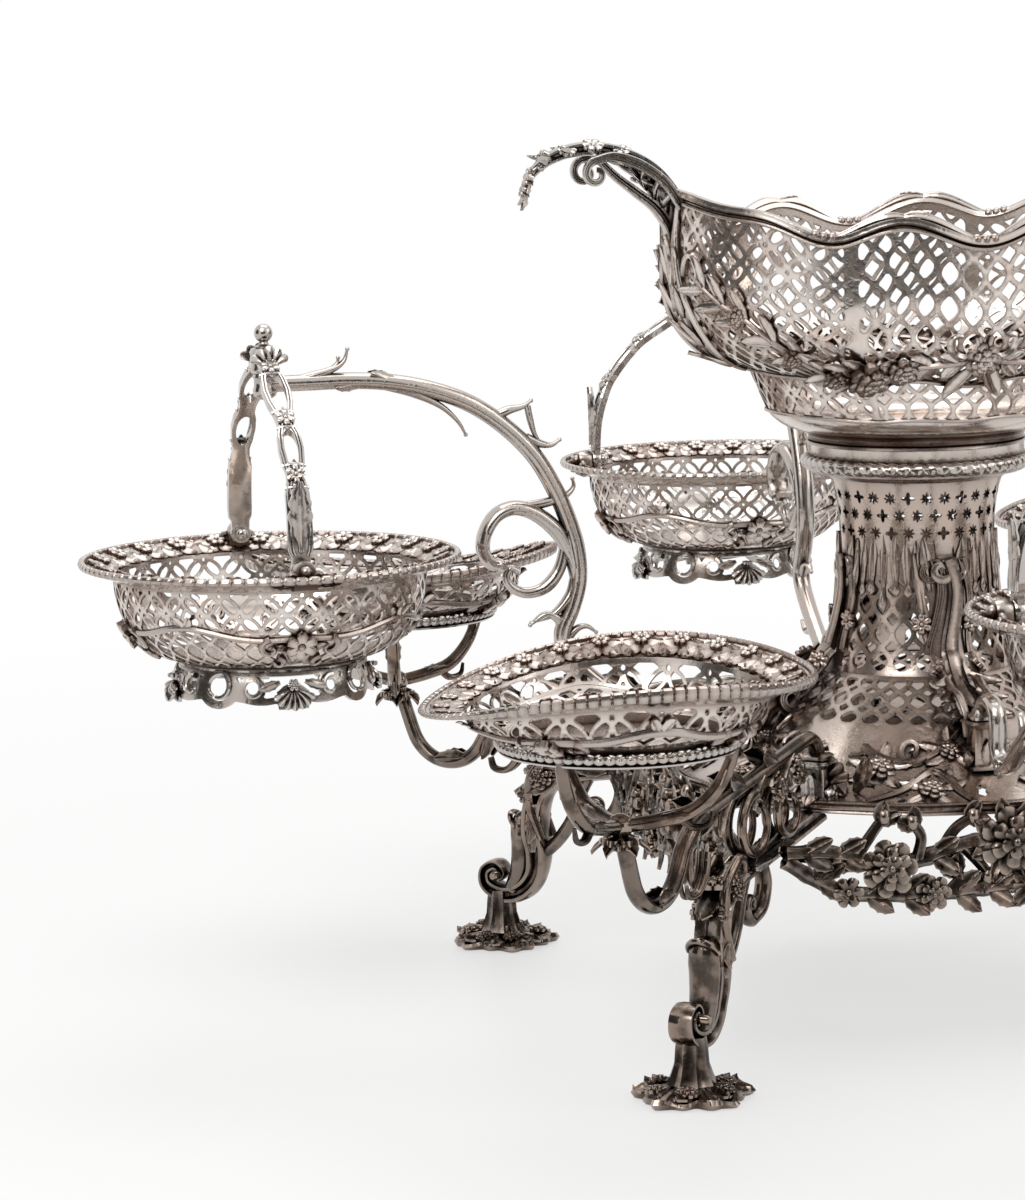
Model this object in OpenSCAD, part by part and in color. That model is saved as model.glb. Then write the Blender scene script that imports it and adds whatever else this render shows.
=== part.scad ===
// Silver epergne: a pierced oval basket on a waisted stem and a domed base with four scroll legs.
// Four scroll arms lift out of square sockets and carry round hanging baskets on swivelling handles.
// Four lower arms over the legs carry beaded rings, and a round dish drops into each ring.
// Millimetres, +Z up. The origin is on the table under the stem.

/* [Base and stem] */
// Radius of the domed base at its edge
base_r = 104; // [96:1:112]
// Height of the base edge above the table
base_z = 97; // [92:1:106]
// Rise of the dome from its edge to the foot of the stem
dome_h = 44; // [40:1:50]
// How strongly the dome flares (1 is a plain cone)
dome_curve = 1.3; // [1.1:0.05:1.6]
// Half height of the upright lip round the base edge
lip_h = 2.6; // [2:0.1:4]
// Thickness of the base and stem walls
stand_wall = 1.8; // [1.4:0.1:2.6]
// Radius of the half-round moulding round the base edge
moulding_r = 2.4; // [1.6:0.1:3]
// Radius of the stem where it meets the dome
stem_foot_r = 40; // [37:0.5:44]
// Radius of the stem at its waist
stem_waist_r = 32.3; // [30:0.1:35]
// Radius of the stem under the collar
stem_top_r = 37.5; // [36:0.5:40]
// Height of the stem
stem_h = 83; // [74:1:95]
// Outer radius of the collar on top of the stem
collar_r = 46; // [44:0.5:50]
// Height of the collar
collar_h = 13; // [11:0.5:18]
// Wall of the collar round the seat of the centre basket
collar_wall = 2.4; // [1.6:0.1:3.2]
// Thickness of the ledge at the bottom of the collar
collar_ledge = 3; // [2:0.5:5]
// Radius of the gadrooned half-round ring on the collar
gadroon_r = 3.2; // [2:0.1:4]
// Height of the gadrooned ring above the foot of the collar
gadroon_rise = 4; // [3.5:0.1:6]
// Radius of the rod of the four stem buttresses
buttress_bar = 3; // [2:0.1:3.6]
// Radius of the long sweep of a buttress
buttress_sweep_r = 45; // [38:1:52]
// Radius of the curl where a buttress meets the stem
buttress_curl_r = 7; // [5:0.5:9]

/* [Legs and aprons] */
// Radius of the leg rod
leg_bar = 4.5; // [3.6:0.1:5.5]
// Radius of the thinner rod in the scroll at the ankle
leg_scroll_bar = 3; // [2:0.1:3.4]
// Length of the straight shoulder of a leg
leg_shoulder = 80; // [70:1:90]
// Slope of the shoulder below level, in degrees
leg_slope = 10; // [6:1:13]
// Radius of the knee bend
leg_knee_r = 22; // [18:1:26]
// Radius of the gentle shin bend
leg_shin_r = 60; // [45:1:80]
// Radius of the bend at the ankle
leg_ankle_r = 18; // [16:0.5:20]
// Radius of the scroll rolled above the foot
leg_scroll_r = 6; // [5:0.5:7]
// Radius of a foot pad
foot_pad_r = 24; // [18:0.5:28]
// Thickness of the edge of a foot pad
foot_pad_h = 4; // [3:0.5:6]
// Height of the domed top of a foot pad
foot_dome_h = 12; // [9:0.5:14]
// Radius of the ankle under the scroll
ankle_r = 6; // [4.5:0.5:7]
// Gap between the base moulding and the plane of a floral apron
apron_out = 0.6; // [0.3:0.1:6]
// Radius of the apron branches
apron_bar = 2.4; // [1.8:0.1:3]
// Radius of the large centre flower of an apron
apron_flower_r = 14; // [10:0.5:17]
// Radius of the two side flowers of an apron
apron_bud_r = 8.5; // [6:0.5:10]
// How far an apron flower stands out
apron_flower_h = 6; // [4:0.5:8]
// Radius of the bends in the apron branches
apron_bend_r = 34; // [28:1:38]

/* [Centre basket] */
// Half length of the bowl
centre_half_x = 107; // [98:1:118]
// Half width of the bowl
centre_half_y = 84; // [76:1:92]
// Height of the bowl to the mean line of its rim
centre_depth = 86.5; // [78:0.5:98]
// Wall of the bowl
centre_wall = 1.6; // [1.2:0.1:2.4]
// Share of the height below the shoulder of the bowl
centre_tier = 0.28; // [0.22:0.01:0.34]
// Share of the flare below the shoulder of the bowl
centre_tier_flare = 0.42; // [0.34:0.02:0.5]
// Height of the waves along the rim
centre_wave = 4.5; // [0:0.5:6]
// Number of waves along the rim
centre_waves = 10; // [6:2:14]
// Extra rise of the rim at the two handles
centre_end_rise = 16; // [8:0.5:20]
// Thickness of the flange that rests on the collar
centre_flange = 4; // [3:0.5:6]
// Wall of the plug inside the collar
centre_plug_wall = 2; // [1.4:0.1:3]
// Radius of the rod of the end handles
centre_handle_bar = 3; // [2.4:0.1:4]
// Length of a handle's root along the bowl
centre_handle_root = 17; // [13:1:22]
// Depth of the foot of that root below the rim
centre_handle_sink = 9; // [6:0.5:12]
// Radius of the bend where a handle leaves the bowl
centre_handle_neck_r = 20; // [16:1:25]
// Length of the straight rise of a handle
centre_handle_rise = 8; // [4:1:14]
// Radius of the arched top of a handle
centre_handle_arch_r = 34; // [28:1:40]
// Radius of the drooping tip of a handle
centre_handle_tip_r = 22; // [16:1:26]

/* [Upper arms] */
// Distance of the arm sockets from the stem axis
socket_r = 77; // [73:0.5:81]
// Outside width of a square socket
socket_w = 12; // [11:0.5:14]
// Height of a socket above the dome
socket_rise = 17; // [15:0.5:22]
// Width of the square tenon on every arm
tenon_w = 6.4; // [5:0.1:7.4]
// Length of the square tenon on an upper arm
tenon_l = 14; // [11:0.5:15]
// Radius of the arm rod
arm_bar = 3.4; // [2.6:0.1:3.8]
// Radius of the bend over the socket
arm_crook_r = 8.5; // [7.5:0.5:11]
// Length of the drop beside the socket
arm_drop = 10; // [6:0.5:12]
// Radius of the dip under the arm
arm_dip_r = 11; // [9:0.5:14]
// Slope of the straight rise, in degrees above level
arm_slope = 36; // [30:1:42]
// Length of the straight rise
arm_incline = 50; // [42:1:60]
// Radius of the bend at the foot of the big curve
arm_heel_r = 18; // [14:0.5:24]
// Heading of the arm at its heel, in degrees
arm_heel_heading = 115; // [105:1:120]
// Radius of the upright part of the big curve
arm_rise_r = 70; // [62:1:80]
// Radius of the crown of the big curve
arm_crown_r = 100; // [90:1:112]
// Length of the level end of the arm
arm_run = 35; // [28:1:44]
// Radius of the rod of the inner scrolls
scroll_bar = 2.6; // [2:0.1:3]
// Radius of the large inner scroll
scroll_r = 28; // [24:1:30]
// Radius of the turn of the inner scroll
scroll_turn_r = 14; // [12:0.5:15]
// Radius of the rolled end of the inner scroll
scroll_end_r = 6; // [5:0.5:7]
// Length of the straight part of the curl inside that scroll
curl_drop = 10; // [7:0.5:13]
// Radius of that curl
curl_r = 12; // [10:0.5:13]
// Radius of the boss under the swivel
boss_r = 4.6; // [4:0.1:5.5]
// Height of that boss above the axis of the arm
boss_rise = 4.4; // [4:0.1:6]
// Radius of the swivel peg
peg_r = 1.6; // [1.2:0.1:2.2]
// Radius of the ball finial over the swivel
finial_r = 3.8; // [3:0.1:4.6]

/* [Hanging baskets] */
// Radius of the rod of a handle
handle_bar = 2.6; // [2:0.1:3.2]
// Distance of the pivot eyes from the basket axis
lug_r = 63; // [58:0.5:66]
// Length of the upright foot of a handle
handle_foot = 8; // [6:0.5:14]
// Radius of the arch of a handle
handle_arch_r = 60; // [50:1:68]
// Turn of the arch, in degrees
handle_turn = 57; // [50:1:62]
// Radius of the hub on the swivel peg
hub_r = 5.6; // [5:0.1:7]
// Height of that hub
hub_h = 10; // [8:0.5:13]
// Radius of the shell canopy over the hub
canopy_r = 13; // [9:0.5:15]
// Radius of a pivot pin
pin_r = 1.5; // [1.2:0.1:2]
// Outer radius of a pivot eye
eye_r = 4.4; // [3.8:0.1:5]
// Width of a pivot eye along the pin
eye_w = 4.6; // [3.6:0.1:6]
// Radius of the ball on a pivot pin
pin_ball_r = 2.6; // [2.3:0.1:3]
// Radius of a basket at its rim
basket_r = 76.5; // [74:0.5:80]
// Radius of a basket just under its flared rim
basket_neck_r = 64; // [61:0.5:66]
// Depth of a basket
basket_depth = 39; // [34:1:46]
// Height of the flared rim
basket_flare = 5.5; // [4:0.5:8]
// Height of the pivots above the rim
pivot_rise = 3; // [2:0.5:5]
// Radius of the bottom of a basket
basket_bottom_r = 39; // [36:0.5:44]
// Wall of the baskets, dishes and skirts
bowl_wall = 1.3; // [1:0.1:1.8]
// Width of the ear that holds a pivot pin
ear_w = 8; // [6:0.5:10]
// Thickness of that ear along the pin
ear_t = 6.5; // [5:0.5:8]
// Height of the pierced skirt under a basket
skirt_h = 17; // [14:0.5:22]
// Radius of the skirt at its four feet
skirt_r = 41; // [39:0.5:46]
// Radius of the arches cut between the four feet
skirt_arch_r = 14; // [11:0.5:15]

/* [Lower arms and dishes] */
// Distance of a lower socket from the base edge
dish_socket_in = 7.5; // [6.5:0.5:12]
// Height of a lower socket above the dome
dish_socket_rise = 15; // [15:0.5:20]
// Length of the square tenon on a lower arm
dish_tenon_l = 12; // [9:0.5:12.5]
// Radius of the rod of a lower arm
dish_bar = 3.2; // [2.6:0.1:3.8]
// Radius of the bend over the lower socket
dish_crook_r = 10; // [8.5:0.5:13]
// Slope of the straight part below level, in degrees
dish_slope = 10; // [6:1:14]
// Length of the straight part
dish_reach_l = 88; // [78:1:98]
// Radius of the fall towards the bend
dish_fall_r = 30; // [24:1:36]
// Radius of the bend under the dish
dish_bend_r = 20; // [16:1:24]
// Heading after that bend, in degrees
dish_lift_heading = 70; // [62:1:76]
// Length of the rise to the knuckle
dish_lift = 24; // [18:1:30]
// Radius of the knuckle where the prongs spring
knuckle_r = 5; // [4.4:0.1:6.5]
// Radius of the rod of a prong
prong_bar = 2.4; // [2:0.1:2.8]
// Radius of the bend of a prong
prong_bend_r = 34; // [30:1:36]
// Radius of the beaded ring under a dish
ring_r = 43.8; // [41:0.1:47]
// Radius of the section of that ring
ring_bar = 3; // [2.9:0.1:3.6]
// Radius of a dish at its rim
dish_r = 73; // [68:1:78]
// Radius of a dish just under its flared rim
dish_neck_r = 58; // [54:1:62]
// Height of a dish above its ring
dish_h = 16; // [13:0.5:20]
// Height of the flared rim of a dish
dish_flare = 4; // [3:0.5:6]
// Depth of the dish's foot inside the ring
dish_foot_h = 5; // [4:0.5:5.5]

/* [Hidden] */
$fn = 64;

// Clearances: soldered seams, loose seats and running pins
solder_gap = 0.05;
seat_gap = 0.3;
pin_gap = 0.06;
tenon_gap = 0.3;

// Steps along a curved profile, and faces of the centre bowl
profile_steps = 12;
tier_rings = 4;
bowl_sides = 48;
// Degrees between the stations of a bent rod
bend_step = 16;

bright_silver = "#cfccc6";
warm_silver = "#b3aaa0";
dark_silver = "#8f877d";

// Directions of the four arms and of the four legs, counter-clockwise from +X
sides = [["right", 0], ["back", 90], ["left", 180], ["front", 270]];
corners = [["back_right", 45], ["back_left", 135], ["front_left", 225], ["front_right", 315]];
SIDE_NODES = ["apron", "arm", "finial", "handle", "basket", "basket_skirt", "basket_pins"];
CORNER_NODES = ["leg", "dish_arm", "dish"];
STAND_NODES = ["base_plate", "base_moulding", "stem", "stem_buttresses", "collar", "gadroon_ring",
    "arm_sockets", "dish_sockets"];
CENTRE_NODES = ["centre_basket", "centre_foot", "centre_handle_left", "centre_handle_right"];

// Rods are chains of steps from a place [x, z, heading], and taper to the rod radius that a step ends with.
// A step is [0, length, rod] for a straight or [bend radius, turn, rod], turning left when positive.
function step_to(p, s) =
    s[0] == 0
        ? [p[0] + s[1] * cos(p[2]), p[1] + s[1] * sin(p[2]), p[2]]
        : [p[0] + sign(s[1]) * s[0] * (sin(p[2] + s[1]) - sin(p[2])),
           p[1] + sign(s[1]) * s[0] * (cos(p[2]) - cos(p[2] + s[1])),
           p[2] + s[1]];
function chain_end(p, steps, i = 0) =
    i == len(steps) ? p : chain_end(step_to(p, steps[i]), steps, i + 1);
// Places along the steps of a chain, each with its rod radius
function step_stations(p, s, rod) =
    let (n = s[0] == 0 ? 1 : ceil(abs(s[1]) / bend_step))
    [for (i = [1 : n]) concat(step_to(p, [s[0], s[1] * i / n]), rod + (s[2] - rod) * i / n)];
function chain_stations(p, steps, rod, i = 0) =
    i == len(steps) ? []
        : concat(step_stations(p, steps[i], rod),
                 chain_stations(step_to(p, steps[i]), steps, steps[i][2], i + 1));
function reversed(list) = [for (i = [len(list) - 1 : -1 : 0]) list[i]];

// Base and stem
dome_z = base_z + dome_h;
function dome_top(r) = base_z + dome_h * pow((base_r - r) / (base_r - stem_foot_r), dome_curve);
dome_line = [for (i = [0 : profile_steps])
    let (r = base_r + (stem_foot_r - base_r) * i / profile_steps) [r, dome_top(r)]];
dome_under = [for (p = dome_line) [p[0] - stand_wall, p[1] - 0.6 * stand_wall]];
stem_z = dome_z + solder_gap;
stem_foot_fade = 4;
stem_top_fade = 8;
function stem_radius(t) = stem_waist_r + (stem_foot_r - stem_waist_r) * pow(1 - t, stem_foot_fade)
    + (stem_top_r - stem_waist_r) * pow(t, stem_top_fade);
stem_line = [for (i = [0 : profile_steps])
    let (t = i / profile_steps) [stem_radius(t), stem_z + stem_h * t]];
collar_z = stem_z + stem_h + solder_gap;
collar_top = collar_z + collar_h;
collar_bore = collar_r - collar_wall;
ledge_z = collar_z + collar_ledge;

// Sockets of the upper and lower arms
hole_w = tenon_w + 2 * tenon_gap;
socket_top = dome_top(socket_r) + socket_rise;
dish_socket_r = base_r - dish_socket_in;
dish_socket_top = dome_top(dish_socket_r) + dish_socket_rise;

// Upper arm: over the socket, down, out along the rise and up the big curve
arm_start = [socket_r, socket_top + seat_gap, 90];
arm_foot = [
    [arm_crook_r, -180, arm_bar],
    [0, arm_drop, arm_bar],
    [arm_dip_r, 90 + arm_slope, arm_bar],
    [0, arm_incline, arm_bar],
    [arm_heel_r, arm_heel_heading - arm_slope, arm_bar],
    [arm_rise_r, 90 - arm_heel_heading, arm_bar],
];
arm_crown_heading = 50;
arm_head = [
    [arm_rise_r, arm_crown_heading - 90, arm_bar],
    [arm_crown_r, -arm_crown_heading, arm_bar],
    [0, arm_run, arm_bar],
];
arm_upright = chain_end(arm_start, arm_foot);
arm_tip = chain_end(arm_upright, arm_head);
basket_reach = arm_tip[0];
scroll_heading = 75;
scroll_start = [arm_upright[0], arm_upright[1], scroll_heading];
scroll_steps = [
    [scroll_r, -scroll_heading, scroll_bar],
    [scroll_turn_r, -120, scroll_bar],
    [scroll_end_r, -100, scroll_bar],
];
curl_place = chain_end(scroll_start, [[scroll_r, -20, scroll_bar]]);
curl_start = [curl_place[0], curl_place[1], -78];
curl_steps = [
    [0, curl_drop, scroll_bar],
    [curl_r, 120, scroll_bar],
];

// Swivel and handle, hung from the boss at the end of the arm
boss_top = arm_tip[1] + boss_rise;
hub_z = boss_top + seat_gap;
hub_top = hub_z + hub_h;
handle_meet_drop = 3;
finial_neck = 2;
handle_head = 90 + handle_turn;
handle_bend = [[0, handle_foot, handle_bar], [handle_arch_r, handle_turn, handle_bar]];
handle_bent = chain_end([lug_r, 0, 90], handle_bend);
handle_reach = handle_bent[0] - hub_r / 2;
handle_steps = concat(handle_bend, [[0, -handle_reach / cos(handle_head), handle_bar]]);
handle_h = chain_end([lug_r, 0, 90], handle_steps)[1];
pivot_z = hub_top - handle_meet_drop - handle_h;

// Hanging basket
basket_rim_z = pivot_z - pivot_rise;
basket_z = basket_rim_z - basket_depth;
basket_neck_z = basket_rim_z - basket_flare;
function bowl_curve(r0, r1, z0, z1) = [for (i = [0 : profile_steps])
    let (a = 90 * i / profile_steps) [r0 + (r1 - r0) * sin(a), z1 - (z1 - z0) * cos(a)]];
skirt_z = basket_z - solder_gap - skirt_h;
ear_in = lug_r + eye_w / 2 + seat_gap;
ear_out = ear_in + ear_t;
function flare_z(r) = basket_neck_z
    + basket_flare * (r - basket_neck_r) / (basket_r - basket_neck_r);
pin_in = lug_r - eye_w / 2 - seat_gap;
pin_head_edge = 60;
pin_head_steps = 6;

// Lower arm, its ring and the dish
dish_start = [dish_socket_r, dish_socket_top + seat_gap, 90];
dish_fall_heading = -65;
dish_steps = [
    [dish_crook_r, -90 - dish_slope, dish_bar],
    [0, dish_reach_l, dish_bar],
    [dish_fall_r, dish_fall_heading + dish_slope, dish_bar],
    [dish_bend_r, dish_lift_heading - dish_fall_heading, dish_bar],
    [0, dish_lift, dish_bar],
];
dish_tip = chain_end(dish_start, dish_steps);
prong_heading = 10;
prong_turn = 75;
prong_start = [0.6 * knuckle_r, dish_tip[1], prong_heading];
prong_bent = chain_end(prong_start, [[prong_bend_r, prong_turn, prong_bar]]);
prong_steps = [
    [0, (ring_r - prong_bent[0]) / cos(prong_heading), prong_bar],
    [prong_bend_r, prong_turn, prong_bar],
];
ring_z = chain_end(prong_start, prong_steps)[1];
dish_foot_r = ring_r - ring_bar - seat_gap;
dish_shoulder_z = ring_z + ring_bar + seat_gap;
dish_z = dish_shoulder_z - dish_foot_h;
dish_rim_z = dish_shoulder_z + dish_h;

// Leg from the base edge down to the scroll over its foot
leg_start = [base_r - 2 * leg_bar, base_z - lip_h - 1, -leg_slope];
leg_shin_heading = -102;
leg_scroll_heading = 30;
leg_upper = [
    [0, leg_shoulder, leg_bar],
    [leg_knee_r, leg_slope - 90, leg_bar],
    [leg_shin_r, leg_shin_heading + 90, leg_bar],
    [leg_ankle_r, -leg_shin_heading, leg_bar],
];
leg_scroll = [
    [leg_ankle_r, leg_scroll_heading, leg_bar],
    [leg_scroll_r, 220, leg_scroll_bar],
];
ankle = chain_end(leg_start, leg_upper);

// Apron between two legs, in a plane parallel to one side
apron_y = base_r + moulding_r + apron_out;
leg_line_z = leg_start[1] - (apron_y * sqrt(2) - leg_start[0]) * tan(leg_slope);
apron_end = apron_y - (leg_bar + seat_gap) * sqrt(2) - 2 * apron_bar;
apron_peak = 15;
apron_upper_start = [-apron_end, leg_line_z + apron_bar / 2, 5];
apron_upper_bends = [
    [apron_bend_r, -20 - apron_peak, apron_bar],
    [apron_bend_r, 30 + apron_peak - apron_upper_start[2], apron_bar],
];
apron_bud = chain_end(apron_upper_start, apron_upper_bends);
apron_climb = [0, -(apron_bud[0] + apron_bend_r * sin(apron_bud[2])) / cos(apron_bud[2]), apron_bar];
apron_crest = chain_end(apron_bud, [apron_climb, [apron_bend_r, -apron_bud[2], apron_bar]]);
apron_arch = [apron_bend_r, -2 * apron_bud[2], apron_bar];
apron_upper = concat(apron_upper_bends, [apron_climb, apron_arch, apron_climb],
    reversed(apron_upper_bends));
apron_lower_start = [-apron_end, leg_line_z - apron_bar / 2, -60];
apron_lower_bends = [
    [apron_bend_r * 0.75, 60, apron_bar],
    [apron_bend_r, -20, apron_bar],
    [apron_bend_r, 20, apron_bar],
];
apron_lower_bent = chain_end(apron_lower_start, apron_lower_bends);
apron_lower = concat(apron_lower_bends, [[0, -2 * apron_lower_bent[0], apron_bar]],
    reversed(apron_lower_bends));

// Buttress from the inner face of a socket up to the stem
buttress_rise = 145;
buttress_upright = 100;
buttress_bends = [
    [buttress_sweep_r, buttress_upright - buttress_rise, buttress_bar],
    [buttress_curl_r, 180 - buttress_upright, buttress_bar],
];
buttress_seat = socket_r - socket_w / 2 + buttress_bar;
buttress_bent = chain_end([buttress_seat, 0, buttress_rise], buttress_bends);
buttress_steps = concat(
    [[0, (stem_waist_r - buttress_bent[0]) / cos(buttress_rise), buttress_bar]],
    buttress_bends);
buttress_start = [buttress_seat, socket_top - 1.5 * buttress_bar, buttress_rise];

// Centre basket
foot_z = collar_top + seat_gap;
centre_z = foot_z + centre_flange + solder_gap;
// Two tiers: a rounded bottom edge and a straight flank, then a shoulder that turns upright
bottom_round = 0.1;
bottom_flare = 0.22;
shoulder_end = 0.69;
function quarter(u) = sqrt(1 - pow(1 - min(1, u), 2));
shoulder_rise = shoulder_end - centre_tier;
function centre_swell(t) = t < centre_tier
    ? bottom_flare * quarter(t / bottom_round) + (centre_tier_flare - bottom_flare) * t / centre_tier
    : centre_tier_flare + (1 - centre_tier_flare) * quarter((t - centre_tier) / shoulder_rise);
centre_levels = concat(
    [for (j = [0 : tier_rings]) bottom_round * (1 - cos(90 * j / tier_rings))],
    [for (j = [0 : tier_rings]) centre_tier + shoulder_rise * (1 - cos(90 * j / tier_rings))],
    [1]);
// The waves are full along the sides and fade out where the rim rises to the ends
wave_gain = 1.6;
wave_fade = 3;
end_fade = 4;
function centre_rim(a) = centre_z + centre_depth
    + centre_wave * cos(centre_waves * a) * min(1, wave_gain * pow(abs(sin(a)), wave_fade))
    + centre_end_rise * pow(abs(cos(a)), end_fade);
function centre_ring(t, wall) = [for (i = [0 : bowl_sides - 1])
    let (a = 360 * i / bowl_sides, f = centre_swell(t), low = centre_z + wall)
    [(collar_r + (centre_half_x - collar_r) * f - wall) * cos(a),
     (collar_r + (centre_half_y - collar_r) * f - wall) * sin(a),
     low + (centre_rim(a) - low) * t]];
centre_handle_start = [centre_half_x + centre_handle_bar + solder_gap,
    centre_z + centre_depth - centre_handle_sink, 90];
centre_handle_steps = [
    [0, centre_handle_root, centre_handle_bar],
    [centre_handle_neck_r, -50, centre_handle_bar],
    [0, centre_handle_rise, centre_handle_bar],
    [centre_handle_arch_r, -40, centre_handle_bar],
    [centre_handle_tip_r, -85, centre_handle_bar],
];

// Shared shapes
// A rod along a chain of steps, standing in the XZ plane
module rod(p, steps, sides = 8) {
    stations = concat([[p[0], p[1], p[2], steps[0][2]]], chain_stations(p, steps, steps[0][2]));
    last = len(stations) - 1;
    points = [for (s = stations, k = [0 : sides - 1])
        let (a = 360 * (k + 0.5) / sides)
        [s[0] - s[3] * cos(a) * sin(s[2]), s[3] * sin(a), s[1] + s[3] * cos(a) * cos(s[2])]];
    walls = [for (j = [0 : last - 1], k = [0 : sides - 1])
        let (n = (k + 1) % sides, a = j * sides, b = a + sides)
        each [[a + k, a + n, b + n], [a + k, b + n, b + k]]];
    caps = [[for (k = [sides - 1 : -1 : 0]) k], [for (k = [0 : sides - 1]) last * sides + k]];
    polyhedron(points = points, faces = concat(walls, caps));
}

module scroll_eye(p, r) {
    translate([p[0], 0, p[1]]) sphere(r = r);
}

module square_post(w, z0, z1) {
    translate([-w / 2, -w / 2, z0]) cube([w, w, z1 - z0]);
}

// Everything inside the skin of the base and stem, grown by a gap
module stand_core(gap) {
    rotate_extrude() polygon(concat([[0, base_z - lip_h]],
        [[base_r + gap, base_z - lip_h]],
        [for (p = dome_line) [p[0] + gap, p[1] + gap]],
        [for (p = stem_line) [p[0] + gap, p[1] + gap]],
        [[0, stem_z + stem_h]]));
}

// The lip, the moulding and the dome's wall, which the legs stop against
module base_edge(gap) {
    rotate_extrude() polygon(concat(
        [[base_r - stand_wall - gap, base_z - lip_h - gap]],
        [[base_r + moulding_r + 2 * gap, base_z - lip_h - gap]],
        [[base_r + moulding_r + 2 * gap, base_z + lip_h + gap]],
        reversed([for (p = dome_under) [p[0], p[1] + 2 * stand_wall]]),
        [for (p = reversed(dome_under)) [p[0] - gap, p[1] - gap]]));
}

// Base and stem
module base_plate() {
    color(bright_silver) rotate_extrude() polygon(concat(
        [[base_r, base_z - lip_h]],
        dome_line,
        [[stem_foot_r - stand_wall, dome_z]],
        reversed(dome_under),
        [[base_r - stand_wall, base_z - lip_h]]));
}

module base_moulding() {
    color(bright_silver) difference() {
        rotate_extrude() translate([base_r + solder_gap, base_z]) circle(r = moulding_r);
        cylinder(r = base_r + solder_gap, h = base_z + 2 * moulding_r);
    }
}

module stem() {
    color(bright_silver) rotate_extrude() polygon(concat(
        stem_line,
        [for (p = reversed(stem_line)) [p[0] - stand_wall, p[1]]]));
}

module collar() {
    bore = stem_top_r - stand_wall;
    color(bright_silver) rotate_extrude() polygon([
        [bore, collar_z],
        [collar_r, collar_z],
        [collar_r, collar_top],
        [collar_bore, collar_top],
        [collar_bore, ledge_z],
        [bore, ledge_z],
    ]);
}

module gadroon_ring() {
    color(bright_silver) difference() {
        translate([0, 0, collar_z + gadroon_rise])
            rotate_extrude() translate([collar_r + solder_gap, 0]) circle(r = gadroon_r);
        cylinder(r = collar_r + solder_gap, h = collar_top);
    }
}

module stem_buttresses() {
    color(warm_silver) for (side = sides) rotate([0, 0, side[1]]) difference() {
        rod(buttress_start, buttress_steps);
        stand_core(solder_gap);
        translate([socket_r, 0, 0])
            square_post(socket_w + 2 * solder_gap, base_z, socket_top + solder_gap);
    }
}

module socket(r, top, depth) {
    difference() {
        translate([r, 0, 0]) square_post(socket_w, base_z, top);
        translate([r, 0, 0]) square_post(hole_w, top - depth, top + 1);
        stand_core(solder_gap);
    }
}

module arm_sockets() {
    color(warm_silver) for (side = sides) rotate([0, 0, side[1]]) socket(socket_r, socket_top, tenon_l + tenon_gap);
}

module dish_sockets() {
    color(warm_silver) for (corner = corners) rotate([0, 0, corner[1]])
        socket(dish_socket_r, dish_socket_top, dish_tenon_l + tenon_gap);
}

// Legs and aprons
module foot_pad() {
    translate([ankle[0], 0, 0]) rotate_extrude() polygon([
        [0, 0],
        [foot_pad_r, 0],
        [foot_pad_r, foot_pad_h],
        [(foot_pad_r + ankle_r) / 2, (foot_pad_h + foot_dome_h) / 2],
        [ankle_r, foot_dome_h],
        [ankle_r, ankle[1]],
        [0, ankle[1]],
    ]);
}

module leg(turn) {
    color(dark_silver) rotate([0, 0, turn]) difference() {
        union() {
            rod(leg_start, concat(leg_upper, leg_scroll));
            foot_pad();
        }
        base_edge(solder_gap);
    }
}

module apron_flower(p, r) {
    translate([p[0], -apron_bar, p[1]]) rotate([90, 0, 0]) rotate_extrude() polygon([
        [0, -2 * apron_bar],
        [r, -apron_bar],
        [r, 0],
        [0.6 * r, apron_flower_h * 0.6],
        [0, apron_flower_h],
    ]);
}

module apron(turn) {
    color(dark_silver) rotate([0, 0, turn + 90]) translate([0, -apron_y, 0]) {
        rod(apron_upper_start, apron_upper, 6);
        rod(apron_lower_start, apron_lower, 6);
        apron_flower(apron_bud, apron_bud_r);
        apron_flower([-apron_bud[0], apron_bud[1]], apron_bud_r);
        apron_flower(apron_crest, apron_flower_r);
    }
}

// Centre basket
module centre_basket() {
    rings = concat(
        [for (t = centre_levels) centre_ring(t, 0)],
        [for (j = [len(centre_levels) - 1 : -1 : 0]) centre_ring(centre_levels[j], centre_wall)]);
    ring_count = len(rings);
    last = ring_count * bowl_sides;
    points = concat([for (ring = rings, p = ring) p],
        [[0, 0, centre_z], [0, 0, centre_z + centre_wall]]);
    strips = [for (j = [0 : ring_count - 2], i = [0 : bowl_sides - 1])
        let (k = (i + 1) % bowl_sides, a = j * bowl_sides, b = (j + 1) * bowl_sides)
        each [[a + i, b + i, b + k], [a + i, b + k, a + k]]];
    bottom = [for (i = [0 : bowl_sides - 1]) [last, i, (i + 1) % bowl_sides]];
    floor_first = (ring_count - 1) * bowl_sides;
    floor = [for (i = [0 : bowl_sides - 1])
        [last + 1, floor_first + (i + 1) % bowl_sides, floor_first + i]];
    color(bright_silver) polyhedron(points = points, faces = concat(strips, bottom, floor));
}

module centre_foot() {
    plug = collar_bore - seat_gap;
    inside = plug - centre_plug_wall;
    color(bright_silver) rotate_extrude() polygon([
        [inside, ledge_z + seat_gap],
        [plug, ledge_z + seat_gap],
        [plug, foot_z],
        [collar_r, foot_z],
        [collar_r, foot_z + centre_flange],
        [inside, foot_z + centre_flange],
    ]);
}

module centre_handle(turn) {
    color(bright_silver) rotate([0, 0, turn]) {
        rod(centre_handle_start, centre_handle_steps);
        scroll_eye(chain_end(centre_handle_start, centre_handle_steps), 1.3 * centre_handle_bar);
    }
}

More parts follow.
